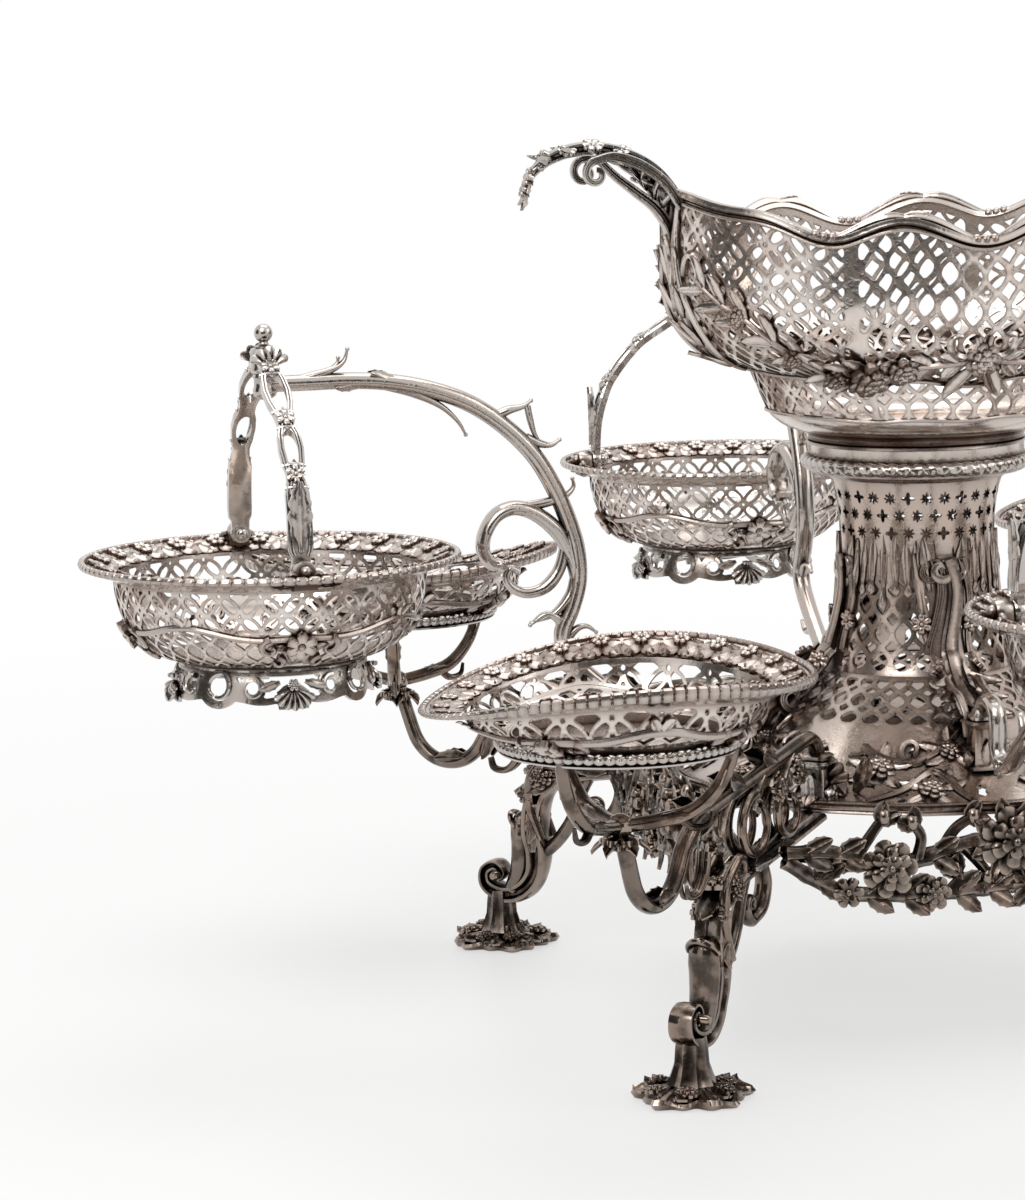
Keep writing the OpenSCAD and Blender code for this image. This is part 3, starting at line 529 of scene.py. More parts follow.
def border(shape, x, neck, rim, flowers, bloom):
    """Cast leaves and flowers on a flared rim between two (r, z), and its bright edge of dashes and beads."""
    slope = (rim[1] - neck[1]) / (rim[0] - neck[0])
    for k in range(2 * flowers):
        out, round_ = polar(k * TAU / (2 * flowers))
        up, away = unit(Z - slope * out), unit(out + slope * Z)
        spot = np.array([x, 0, (neck[1] + rim[1]) / 2 + 1.2]) + (neck[0] + rim[0]) / 2 * out
        if k % 2:
            shape.put(flower(bloom, 6, 0.4), at(spot + 0.6 * up + 0.8 * away, round_, up))
            for way in (1, -1):
                shape.put(leaf(9, 6.5, 0.05, 2, n=7, m=5), at(spot, 0.8 * way * round_ - away, up))
        else:
            for way in (1, -1):
                shape.put(leaf(12, 8.4, 0.04, 3, n=9, m=5),
                          at(spot - 1.0 * away, way * round_ + 0.2 * away, up))
                shape.put(leaf(9, 6.5, 0.08, 2, n=7, m=5), at(spot, 0.5 * way * round_ - away, up))
                shape.put(leaf(7, 6.5, 0.0, 2, n=7, m=5),
                          at(spot - 0.4 * up, 0.9 * way * round_ + 0.8 * away, up))
    beat = 2 * flowers

    def dash(a, b):
        pulse = 3 * np.sin(beat * a) * (1 + 0.5 * np.cos(2 * beat * a))
        return 0.66 + 0.42 * np.clip(pulse, -1, 1) ** 2

    ring(shape, rim[0], rim[1] + 0.2, 1.5, 14 * beat, x, 8, dash)


def bowl_relief(shape, wall, divide, bloom, reach):
    """Raised wavy divider on a bowl, with a flower, scrolls and leaves on each of its four posts."""
    a = np.linspace(0, TAU, 241)
    sweep(shape, wall.point(a, divide(a), 0.3)[:-1], 1.25)
    for k in range(4):
        c = k * TAU / 4
        across = polar(c)[1]
        s0 = float(divide(c))
        spot = s0 - 2.5
        shape.put(flower(bloom, 6, 0.34), at(wall.point(c, spot, 0.9), wall.up(c, spot), wall.out(c, spot)))
        for way in (1, -1):
            for side, level, wide, tall, spin in ((bloom + 5.5, -2.0, 4.6, 5.0, 320),
                                                  (bloom + 2.5, -11.0, 3.4, 4.4, -300)):
                curl = volute((0, 0), 90, 1, 0.3, -way * spin, 24)
                path = wall.point(c + way * side / reach + curl[:, 0] * wide / reach,
                                  spot + level + curl[:, 1] * tall, 0.4)
                sweep(shape, path, np.linspace(1.6, 0.8, 24))
            for level, lean, size in ((-6, 1.1, 10), (-11, 0.5, 9), (-4, 2.2, 8)):
                if spot + level > 2:
                    shape.put(leaf(size, 4.6, 0.16), at(wall.point(c + way * 2.5 / reach, spot + level, 0.5),
                                                        wall.up(c, spot) + way * lean * across,
                                                        wall.out(c, spot + level)))
        peak = c + TAU / 8
        s1 = float(divide(peak))
        for way in (1, -1):
            shape.put(leaf(7.5, 4.0, 0.2),
                      at(wall.point(peak, s1 - 0.5, 0.6), wall.up(peak, s1) + 0.7 * way * polar(peak)[1],
                         wall.out(peak, s1)))


# Hanging baskets

def basket_shape():
    shape = Shape()
    neck, rim = (64, BASKET_RIM - 5.5), (76.5, BASKET_RIM)
    profile = bowl_profile(39, BASKET_Z, neck, rim, 52)
    outer, inner, (a, s) = turned_wall(profile, 480, BASKET_X, 0.9)
    wall = Wall(profile, BASKET_X)
    top = wall.along[NECK]
    divide = lambda q: 27.5 + 2.4 * np.cos(4 * q + math.pi) + 1.0 * np.cos(8 * q)
    low_r, high_r, line = 54, 62, 1.35
    low = ogees(a * low_r, s, TAU * low_r / 40, 12, line)
    high = circles(a * high_r, s - 36.5, DIAGONAL * TAU * high_r / 24, line, 0.9)
    quarter = quarter_turn(a)
    post = either(7.0 - np.abs(quarter) * low_r, 9.0 - np.hypot(quarter * 60, s - divide(a) + 3))
    metal = either(np.where(s < divide(a), either(low, post), high), 1.4 - np.abs(s - divide(a)), 2.6 - s,
                   s - top + 0.8)
    pierced(shape, outer, inner, metal)
    bowl_relief(shape, wall, divide, 6.6, 58)
    border(shape, BASKET_X, neck, rim, 24, 4.4)
    plate = [(2, 1.6), (2, 0.6), (20, 0.4), (39.2, 0), (39.4, 1.2),
             (20, 1.6)]
    lathe(shape, plate, 64, BASKET_X, True, z=BASKET_Z)
    lathe(shape, [(2.2, 0.7), (2.2, 1.5)], 12, BASKET_X, z=BASKET_Z)
    b = np.radians(np.linspace(-20, 200, 14))
    ear = np.concatenate([[(5.2, -7.6)], np.stack([4.4 * np.cos(b), 4.4 * np.sin(b)], 1), [(-5.2, -7.6)]])
    curl = scroll([(24, -5.2), (15, -4.4), (9, -5.6), (6.5, -2)], 24, (4.6, -2.4), 10, 2.2, 0.8, 260, 14)
    for way, back in ((1, 71.9), (-1, -65.8)):
        slab(shape, ear, 6.1, at((BASKET_X, back, PIVOT_Z), X, -Y))
        bead(shape, (BASKET_X, way * 72.3, PIVOT_Z), 2.7)
        for lean in (1, -1):
            path = np.stack([BASKET_X + lean * curl[:, 0], way * (71 - 0.007 * curl[:, 0] ** 2),
                             PIVOT_Z + curl[:, 1]], 1)
            sweep(shape, path, taper(len(curl), 0.8, 1.6, 1.0))
            shape.put(leaf(11, 6, 0.15), at((BASKET_X + lean * 4, way * 70, PIVOT_Z - 5), lean * X - 0.05 * Z,
                                            0.5 * way * Y + Z))
    return shape


def skirt_shape():
    shape = Shape()
    z = BASKET_Z - 0.1
    t = np.linspace(0, 1, 20)
    profile = np.stack([41.2 - 4.2 * t + 1.0 * np.sin(math.pi * t), z - 16.9 + 16.9 * t], 1)
    outer, inner, (a, s) = turned_wall(profile, 300, BASKET_X, 1.6)
    quarter = quarter_turn(a)
    reach = 40
    x, y = np.abs(quarter) * reach, s
    foot = 6.8 - np.hypot(x * 1.05, np.minimum(y - 5, 0) * 0.55 + np.maximum(y - 5, 0) * 1.25)
    fan = 0.9 * (5.5 - x + 0.16 * y) * (y < 8) - 0.5 * (y >= 8)
    middle = 1.6 - np.abs(np.hypot((x - 31.4) / 1.15, y - 8.2) - 6.6)
    small = 1.3 - np.abs(np.hypot(x - 16.5, y - 8.6) - 4.4)
    rail = 1.4 - np.abs(y - 4.0 - 0.8 * np.cos(x / 4)) - 3 * (x > 26)
    metal = either(foot, fan, middle, small, y - 13.6, rail)
    pierced(shape, outer, inner, metal)
    lathe(shape, [(35.6, -2.2), (38.6, -2.2), (39.3, -1.2), (38.6, -0.2), (35.6, -0.2)], 72, BASKET_X, True,
          z=z)
    wall = Wall(profile, BASKET_X)
    for k in range(4):
        c = k * TAU / 4
        shape.put(shell(9.5, 7, 0.3), at(wall.point(c, 8.5, 0.2), -wall.up(c, 8), wall.out(c, 8)))
        shape.put(flower(2.6, 6, 0.5), at(wall.point(c, 9.5, 1.4), X, wall.out(c, 8)))
        for way in (1, -1):
            for centre, r0, turn in ((16.5, 4.4, 250), (31.4, 6.6, 170)):
                v = volute((0, 0), 70, 1, 0.55, way * turn, 18)
                aa = c + way * centre / reach + v[:, 0] * r0 / reach
                sweep(shape, wall.point(aa, 8.4 + v[:, 1] * r0, 0.3), np.linspace(1.3, 0.8, 18))
            shape.put(leaf(9, 4.5, 0.15),
                      at(wall.point(c + way * 0.13, 11, 0.3), way * polar(c)[1] - 0.35 * Z, wall.out(c, 11)))
    return shape


def handle_shape():
    shape = Shape()
    path = chain((63, PIVOT_Z, 90), [(0, 8), (60, 57), (0, 39.2)], 0.7)
    path = spline(path, 150)
    s = np.linspace(0, 1, 150)
    shares = [0, .05, .07, .10, .28, .33, .36, .40, .46, .52, .56, .60, .64, .70, .77, .84, .90, .94, 1]
    widths = [3.6, 3.8, 4.8, 5.0, 4.8, 3.6, 3.4, 4.4, 5.0, 4.6, 3.5, 3.4, 3.8, 5.1, 5.7, 5.1, 3.8, 3.8, 4.6]
    half = graded(150, shares, widths)
    thick = 1.35
    along = unit(np.gradient(path, axis=0))
    norm = np.stack([along[:, 1], -along[:, 0]], 1)
    t = np.linspace(-1, 1, 17)
    grids = []
    for lift in (1, -1):
        q = path + norm * (lift * thick)
        bow = 0.5 * lift * (1 - t ** 2)
        g = np.stack([BASKET_X + half[:, None] * t[None], q[:, None, 0] + norm[:, None, 0] * bow[None],
                      q[:, None, 1] + norm[:, None, 1] * bow[None]], -1)
        grids.append(g)
    ss, tt = np.meshgrid(s * STRAP_L, t, indexing="ij")
    w = half[:, None] * tt
    hole = either(1 - np.hypot((ss - 49.5) / 8.6, w / 3.2), 1 - np.hypot((ss - 82) / 12.4, w / 3.9))
    leg = Shape()
    pierced(leg, grids[0], grids[1], -2.5 * hole, False)

    def station(spot):
        """Index, point, outward and forward direction at a length along the strap."""
        i = int(spot / STRAP_L * (len(path) - 1))
        return i, np.array([BASKET_X, *path[i]]), np.array([0, *norm[i]]), np.array([0, *along[i]])

    for spot in (37.5, 64.5, 97.5):
        _, p, n, d = station(spot)
        leg.put(flower(4.1, 6, 0.4), at(p + n * 1.7, d, n))
        for way in (1, -1):
            leg.put(leaf(6.5, 3.6, 0.1, 2, n=8, m=5), at(p + n * 1.4, way * d, n))
    for way in (1, -1):
        for lift, inset in ((1.5, 0.5), (1.7, 1.7)):
            q = path[8:146] + norm[8:146] * lift
            sweep(leg, np.column_stack([BASKET_X + way * (half[8:146] - inset), q]), 0.55, circle(6))
    _, p, n, d = station(7.5)
    leg.put(leaf(28, 10.4, 0.02, 5, 0.8, 19, 9), at(p + n * 1.5, d, n))
    for spot in (33.0, 42.0, 60.0, 69.0, 93.5):
        i, p, n, d = station(spot)
        w = half[i] + 0.5
        sweep(leg, [p - X * w + n * 0.7, p - X * 0.5 * w + n * 1.7, p + X * 0.5 * w + n * 1.7,
                    p + X * w + n * 0.7], 0.8)
    slab(leg, circle(20) * 4.4, 4.2, at((BASKET_X, 65.1, PIVOT_Z), X, -Y))
    for k in range(2):
        shape.put(leg, turned(k * math.pi, BASKET_X))
    z = HUB_Z
    lathe(shape, [(2.1, 0), (5.2, 0), (5.8, 1.2), (5.0, 3), (5.6, 7), (6.0, 8.4), (5.2, 10), (2.1, 10)],
          28, BASKET_X, True, z=z)
    for way in (1, -1):
        shape.put(shell(9, 5, 0.3), at((BASKET_X, way * 9.6, z + 2.6), (0, -0.1 * way, 1), (0, way, 0.1)))
        shape.put(flower(3.0, 6, 0.4), at((BASKET_X, way * 10.4, z + 4.6), Z, way * Y))
    return shape


def pins_shape():
    shape = Shape()
    a = np.radians(np.linspace(-70, 60, 8))
    ball = np.stack([2.6 * np.cos(a), 1.3 + 2.6 * np.sin(a)], 1)
    pin = Shape()
    lathe(pin, np.concatenate([[(1.0, -11.7), (1.5, -11.2), (1.5, -0.4)], [(1.6, 0.05)], ball[2:]]), 16)
    for way in (1, -1):
        shape.put(pin, at((BASKET_X, way * 60.3, PIVOT_Z), X, -way * Y))
    return shape


def finial_shape():
    shape = Shape()
    z = HUB_Z + 10.35
    a = np.radians(np.linspace(-62, 78, 10))
    ball = np.stack([3.8 * np.cos(a), z + 5.8 + 3.8 * np.sin(a)], 1)
    lathe(shape, np.concatenate([[(1.7, z), (3.6, z), (3.9, z + 0.5), (2.4, z + 1.1), (1.9, z + 1.8)], ball]),
          24, BASKET_X)
    return shape


# Upper arms

ARM = [(77, 128.6), (77.4, 132.5), (80, 136), (85.5, 137.3), (91, 135.4), (94, 131), (94.2, 121),
       (96.5, 115.5), (102, 113.0), (109, 115), (117, 121.5), (134, 135), (147, 146), (155, 155),
       (156.4, 163), (152, 173), (149, 184.5), (149.6, 197), (152.6, 208.5), (158.2, 222.6), (167, 237.5),
       (179.5, 250.3), (194, 260.2), (210.5, 266.6), (227, 270.2), (244, 271.6), (262, 271.6),
       (279.07, 271.6)]


def arm_shape():
    shape = Shape()
    square_post(shape, 77, [(2.8, 114.5), (3.2, 115.2), (3.2, 127.5), (3.4, 128.7), (5.6, 128.9),
                            (5.8, 130.2), (4.2, 131.4), (3.6, 133)])
    path = flat(spline(ARM, 230))
    size = graded(230, [0, .3, .42, .5, .75, 1], [3.3, 3.4, 3.5, 3.8, 3.6, 3.3])
    sweep(shape, path, size, SMOOTH, Y, 1.15)
    big = spline([(149.2, 181), (151.6, 193), (157.5, 205), (166.5, 213), (175.5, 216), (183.4, 213.5),
                  (188.4, 206.5), (189.6, 199.3), (186.8, 193.6), (182.4, 192.6)], 70)
    sweep(shape, flat(big), taper(70, 2.6, 3.4, 2.6), SMOOTH, Y, np.linspace(1.1, 2.1, 70))
    sweep(shape, [(182.4, -5, 192.6), (182.4, -4, 192.6), (182.4, 4, 192.6), (182.4, 5, 192.6)],
          [1.5, 2.6, 2.6, 1.5])
    low = spline([(154.5, 199.4), (157.2, 189.5), (163, 182.5), (170.6, 180.3), (177, 182.4), (179.9, 187),
                  (178, 190.8), (174.6, 189.4)], 50)
    sweep(shape, flat(low), taper(50, 2.2, 2.8, 1.4), SMOOTH, Y, 1.1)
    sprouts = [([(150.4, 186), (153, 178), (160, 171), (170, 167.6)], 2.2),
               ([(156, 163), (158.5, 169), (164, 170.8), (170.5, 166.5)], 2.0),
               ([(155.4, 158), (151, 163.6), (146, 165), (141.5, 162)], 1.8),
               ([(230, 269.2), (217, 265.2), (206, 259.6), (199, 253), (195.6, 247)], 1.9),
               ([(268, 272), (257, 274.6), (250, 277), (246, 280), (244.4, 285)], 2.1),
               ([(258, 273.5), (252.5, 276), (249, 279), (248.4, 281.6)], 1.3),
               ([(184, 254), (177.5, 256.6), (171.5, 257.8), (167.4, 260.4)], 2.1),
               ([(169.4, 258), (168.2, 252), (166.4, 246), (163, 241)], 1.5),
               ([(170.4, 245), (165, 242.4), (159.6, 241.4), (155.6, 243.6)], 2.0),
               ([(170, 216.4), (162, 217.6), (154.6, 219.6), (150.4, 223.4), (150.8, 227.4)], 2.1),
               ([(120, 124.5), (123, 131), (120, 137), (114, 139)], 1.8),
               ([(138, 138.6), (143, 135), (150, 134), (156, 138)], 1.8)]
    for points, size in sprouts:
        p = flat(spline(points, 22))
        sweep(shape, p, taper(22, size, size * 0.95, 0.5), SMOOTH, Y, np.linspace(1, 1.9, 22))
        end = unit(p[-1] - p[-3])
        bead(shape, p[-1] - end * 0.4, 0.95)
    for i, way in ((40, 1), (48, -1), (96, 1), (190, 1), (200, -1)):
        p, d = path[i], unit(path[i + 1] - path[i])
        for face in (1, -1):
            shape.put(leaf(13, 5.4, 0.05), at(p + face * 2.6 * Y, d + way * 0.25 * Z, face * Y))
    for face in (1, -1):
        shape.put(flower(3.6, 6), at((102, face * 3.0, 113.2), X, face * Y))
        shape.put(leaf(16, 7, 0.0), at((151, face * 3.0, 190), (0.2, 0, 1), face * Y))
    lathe(shape, [(1.6, -10.5), (3.2, -9.9), (4.6, -8.8), (5.0, -6.8), (4.4, -5), (4.4, -2.4), (5.0, -1.4),
                  (4.6, 0), (1.6, 0), (1.6, 11.9)], 24, BASKET_X, z=HUB_Z - 0.3)
    for way in (1, -1):
        shape.put(leaf(12, 5.6, 0.05), at((270, way * 2.9, 271.6), X, way * Y))
    return shape


# Lower arms and dishes

def dish_arm_shape():
    shape = Shape()
    square_post(shape, 96.5, [(2.8, 103.0), (3.2, 103.6), (3.2, 114), (3.4, 115.1), (5.4, 115.3),
                              (5.6, 116.6), (4.0, 117.8)])
    path = chain((96.5, 115.0, 90), [(10, -100), (0, 88), (30, -55), (20, 135), (0, 24)])
    path = flat(spline(path[::3], 170))
    size = graded(170, [0, .3, .6, 1], [3.0, 2.9, 3.2, 3.0])
    sweep(shape, path, size, SMOOTH, Y, 1.15)
    tip = np.array([DISH_X, 0, 116.9])
    bead(shape, tip, 5.4, 0.9)
    prong = spline([(3, 117), (14, 118.5), (27, 122), (36, 130), (41.4, 140), (43.6, 149)], 40)
    one = Shape()
    sweep(one, flat(prong), taper(40, 2.8, 3.0, 2.2), SMOOTH, Y, 1.1)
    one.put(leaf(18, 8, 0.05, 4), at((36.5, 0, 128), (0.35, 0, 1), (0.94, 0, -0.34)))
    for way in (1, -1):
        one.put(leaf(14, 5, 0.1), at((12, way * 2.4, 118.5), (1, 0, 0.2), way * Y))
        curl = spline([(22, 120.5), (27, 116), (33, 117), (34.5, 122)], 20)
        sweep(one, flat(curl), taper(20, 1.8, 1.6, 0.7), SMOOTH, Y, 1.2)
    for k in range(3):
        place = turned(k * TAU / 3)
        place[0, 3] = DISH_X
        shape.put(one, place)
    shape.put(blossom(8.5), at(tip - 5.2 * Z, X, -Z))
    for k in range(6):
        a = k * TAU / 6
        shape.put(leaf(13, 6.5, 0.25), at(tip + (0, 0, -2.6), (math.cos(a), math.sin(a), -0.35), -Z))
    loop = volute((158, 98.5), 90, 13.5, 9.0, -330, 60)
    for face in (1, -1):
        sweep(shape, flat(loop) + face * 3.2 * Y, taper(60, 2.2, 2.2, 1.4), SMOOTH, Y, 0.9)
        for i, size, lean in ((28, 17, 0.5), (38, 18, -0.6), (50, 18, 0.6), (62, 19, -0.6), (74, 18, 0.7),
                              (88, 19, -0.7), (104, 17, 0.6), (122, 16, -0.5)):
            d = unit(path[i + 1] - path[i])
            shape.put(leaf(size, 8, 0.14), at(path[i] + face * 2.4 * Y, d + lean * np.cross(Y, d), face * Y))
        shape.put(blossom(6.0), at((138, face * 3.4, 110.4), X, face * Y))
        shape.put(flower(4.6, 6, 0.4), at((120, face * 3.2, 113), X, face * Y))
        bow = volute((128, 99), 60, 11, 6.5, -320, 50)
        sweep(shape, flat(bow) + face * 2.6 * Y, taper(50, 2.0, 2.2, 1.3), SMOOTH, Y, 0.9)
        tail = spline([(196, 95), (198, 86), (204, 80), (211, 80), (213, 85)], 26)
        sweep(shape, flat(tail) + face * 1.2 * Y, taper(26, 2.0, 2.0, 0.8), SMOOTH, Y, 1.0)
    return shape


def dish_ring_shape():
    shape = Shape()
    ring(shape, 43.8, RING_Z, 3.0, 432, DISH_X, 10,
         lambda a, b: np.where(np.cos(b) > -0.2, 0.74 + 0.26 * np.abs(np.cos(36 * a)), 0.9), 0.8)
    lathe(shape, [(41.6, -3.0), (44.8, -3.4), (45.4, -2.6), (43.2, -1.6), (41.6, -1.6)],
          96, DISH_X, True, z=RING_Z)
    return shape


def dish_shape():
    shape = Shape()
    neck, rim = (58, DISH_RIM - 4), (73, DISH_RIM)
    profile = np.concatenate([[(40.5, DISH_Z), (40.5, DISH_Z + 2.4)],
                              bowl_profile(40.5, DISH_Z + 5, neck, rim, 36)])
    outer, inner, (a, s) = turned_wall(profile, 420, DISH_X, 0.9)
    wall = Wall(profile, DISH_X)
    top = wall.along[NECK]
    divide = lambda q: 19.5 + 1.8 * np.cos(4 * q + math.pi) + 0.8 * np.cos(8 * q)
    low_r, high_r, line = 50, 55, 1.25
    low = ogees(a * low_r, s + 1, TAU * low_r / 32, 10, line)
    high = circles(a * high_r, s - 26.5, DIAGONAL * TAU * high_r / 20, line, 0.9)
    quarter = quarter_turn(a)
    post = either(5.5 - np.abs(quarter) * low_r, 8.0 - np.hypot(quarter * 54, s - divide(a) + 2.5))
    metal = either(np.where(s < divide(a), either(low, post), high), 1.3 - np.abs(s - divide(a)), 8.0 - s,
                   s - top + 0.6)
    pierced(shape, outer, inner, metal)
    bowl_relief(shape, wall, divide, 6.0, 54)
    border(shape, DISH_X, neck, rim, 26, 3.6)
    plate = [(2, 1.8), (2, 0.8), (20, 0.5), (40.4, 0), (40.4, 1.4), (20, 1.7)]
    lathe(shape, plate, 64, DISH_X, True, z=DISH_Z)
    lathe(shape, [(2.2, 0.9), (2.2, 1.7)], 12, DISH_X, z=DISH_Z)

    def saddle(p):
        """Lifts two opposite sides of the rim and lets the others dip, as the near dish in the photo does."""
        high_side = math.radians(30)
        a = np.arctan2(p[:, 1], p[:, 0] - DISH_X) - high_side
        share = np.clip((p[:, 2] - DISH_Z - 5) / (DISH_RIM - DISH_Z - 5), 0, 1.15)
        lean = 5.0 * np.hypot(p[:, 0] - DISH_X, p[:, 1]) / 73 * np.sin(a)
        return p + np.outer((3.0 + 4.5 * np.cos(2 * a) + lean) * share ** 1.2, Z)

    shape.bend(saddle)
    return shape


# Stand

def dome_height(r):
    return DOME_Z + 44 * np.clip((DOME_R - r) / 64, 0, 1) ** 1.3


def dome_shape():
    shape = Shape()
    r = np.concatenate([np.linspace(DOME_R, 96, 8), np.linspace(95, 40, 46)])
    profile = np.stack([r, dome_height(r)], 1)
    outer, inner, (a, s) = turned_wall(profile, 300, 0, 1.6)
    metal = np.full(a.shape, 3.0)
    radius = np.interp(s, lengths(profile), r)
    for k in range(8):
        c = (k + 0.5) * TAU / 8
        for offset, reach, hole, size in ((-0.18, 88, star, 4.6), (0.17, 84, quatrefoil, 3.6),
                                          (0.02, 72, star, 3.8), (-0.30, 76, quatrefoil, 2.8),
                                          (0.33, 92, star, 3.4), (-0.02, 96, quatrefoil, 2.2)):
            d = apart(a - c, offset)
            metal = np.minimum(metal, hole(d * reach, radius - reach, size))
    lattice = ogees(a * 50, s, TAU * 50 / 36, 10, 1.9)
    metal = np.where(radius < 60, np.minimum(metal, either(lattice, s - 83.5)), metal)
    pierced(shape, outer, inner, either(metal, 2 - s, 41.4 - radius))
    place = lambda a, r, lift: np.array([r * math.cos(a), r * math.sin(a), float(dome_height(r)) + lift])

    def face(a, r):
        slope = (float(dome_height(r + 1)) - float(dome_height(r - 1))) / 2
        return unit((-slope * math.cos(a), -slope * math.sin(a), 1))

    for k in range(4):
        c = k * TAU / 4 + TAU / 8
        out = polar(c)[0]
        for lean, size in ((0, 22), (0.45, 18), (-0.45, 18), (0.95, 14), (-0.95, 14)):
            d = polar(c + lean)[0]
            shape.put(leaf(size, 9, -0.12, 4, 0.9), at(place(c, 88, 1.4), d - 0.25 * Z, face(c, 88)))
        shape.put(shell(15, 7, 0.35), at(place(c, 94, 1.0), Z - 0.25 * out, out + 0.3 * Z))
        for lean in (0.16, -0.16):
            shape.put(leaf(17, 8, 0.2, 4, 0.9),
                      at(place(c + lean, 94, 0.8), Z + 3 * lean * np.cross(Z, out), out))
        for way in (1, -1):
            for spot, reach, size in ((0.24, 80, 7.5), (0.50, 91, 6.5), (0.62, 72, 5.5)):
                a0 = c + way * spot
                shape.put(blossom(size), at(place(a0, reach, 0.2), X, face(a0, reach)))
                for turn in (0.6, 1.9, 3.1, 4.3, 5.4):
                    d = polar(a0 + turn)[0]
                    d = unit(d - np.dot(d, face(a0, reach)) * face(a0, reach))
                    shape.put(leaf(11, 6, 0.06),
                              at(place(a0, reach, 0.3) + 0.5 * size * d, d, face(a0, reach)))
            curl = spline([(0.66, 98), (0.52, 82), (0.36, 92), (0.22, 99)], 34)
            path = np.array([place(c + way * q, r, 0.6) for q, r in curl])
            sweep(shape, path, taper(34, 1.0, 1.9, 1.0), FLUTE)
            curl = volute((0, 0), 0, 1, 0.25, 420, 36)
            path = np.array([place(c + way * (0.40 + 0.10 * q), 72 + 8 * r, 0.6) for q, r in curl])
            sweep(shape, path, taper(36, 1.0, 1.7, 0.9), FLUTE)
            swag = np.linspace(0.12, 0.72, 26)
            path = np.array([place(c + way * q, 64 + 14 * math.sin(4.5 * q), 1.0) for q in swag])
            sweep(shape, path, taper(26, 1.9, 1.6, 0.8), FLUTE)
    lathe(shape, [(101.6, -2.6), (103.9, -2.6), (104, 0), (103.9, 2.4), (102.4, 2.6),
                  (101.6, 1)], 120, 0, True, z=DOME_Z)
    return shape


def moulding_shape():
    shape = Shape()
    lathe(shape, [(104.05, -2.4), (105.2, -2.4), (106.1, -1.7), (105.6, -1.0), (106.4, 0), (106.3, 0.9),
                  (105.3, 1.3), (105.6, 2.0), (104.6, 2.5), (104.05, 2.2)], 160, 0, True,
          scalloped(0.006, 16), DOME_Z)
    return shape


def stem_profile(t):
    return np.stack([32.3 + 7.7 * (1 - t) ** 4 + 5.2 * t ** 8, STEM_Z + STEM_H * t], 1)


def stem_wall_shape(low, high, n, m):
    """The stem's pierced wall between two shares of its height, with lattice, slits and rows of stars."""
    shape = Shape()
    outer, inner, (a, s) = turned_wall(stem_profile(np.linspace(low, high, m)), n, 0, 1.6)
    s = s + STEM_H * low
    quarter = quarter_turn(a)
    lattice = ogees(a * STEM_R, s, TAU * STEM_R / 24, 12, 2.0)
    flame = 39 + 3 * np.cos(8 * a) + 2 * np.cos(12 * a)
    metal = either(lattice, s - flame, 2.2 - s, 6.5 - np.abs(quarter) * STEM_R)
    for k in range(24):
        d = apart(a, (k + 0.5) * TAU / 24)
        metal = np.minimum(metal, np.abs(d * STEM_R) + 0.014 * (s - 46 - 3 * (k % 2)) ** 2 - 0.9)
    for row, level in enumerate((59, 66.5, 74)):
        for k in range(28):
            d = apart(a, (k + 0.5 * (row % 2)) * TAU / 28)
            metal = np.minimum(metal, star(d * 34, s - level, 2.9, 8 if (k + row) % 3 else 4))
    pierced(shape, outer, inner, metal)
    return shape


def stem_relief_shape():
    """Flame tongues round the stem and its top moulding."""
    shape = Shape()
    wall = Wall(stem_profile(np.linspace(0, 1, 60)))
    for k in range(4):
        for offset, low, size in ((0.33, 40, 17), (0.47, 38, 20), (0.62, 39, 21), (0.785, 36, 34),
                                  (0.95, 39, 21), (1.10, 38, 20), (1.24, 40, 17)):
            c = k * TAU / 4 + offset
            side = (offset - 0.785) * polar(c)[1]
            shape.put(leaf(size, 4.4, 0.0, 2, 1.0, 17, 7),
                      at(wall.point(c, low, 0.5), wall.up(c, low) - 0.12 * side, wall.out(c, low)))
            shape.put(leaf(size * 0.3, 3.6, 0.0, 2, 1.0, 9, 5),
                      at(wall.point(c, low + 0.8, 0.5), -wall.up(c, low) + 0.3 * side, wall.out(c, low)))
    lathe(shape, [(35.6, -1.6), (37.4, -2.4), (38.6, -1.4), (39.4, 0), (35.6, 0)], 72, 0, True,
          z=STEM_Z + STEM_H)
    return shape


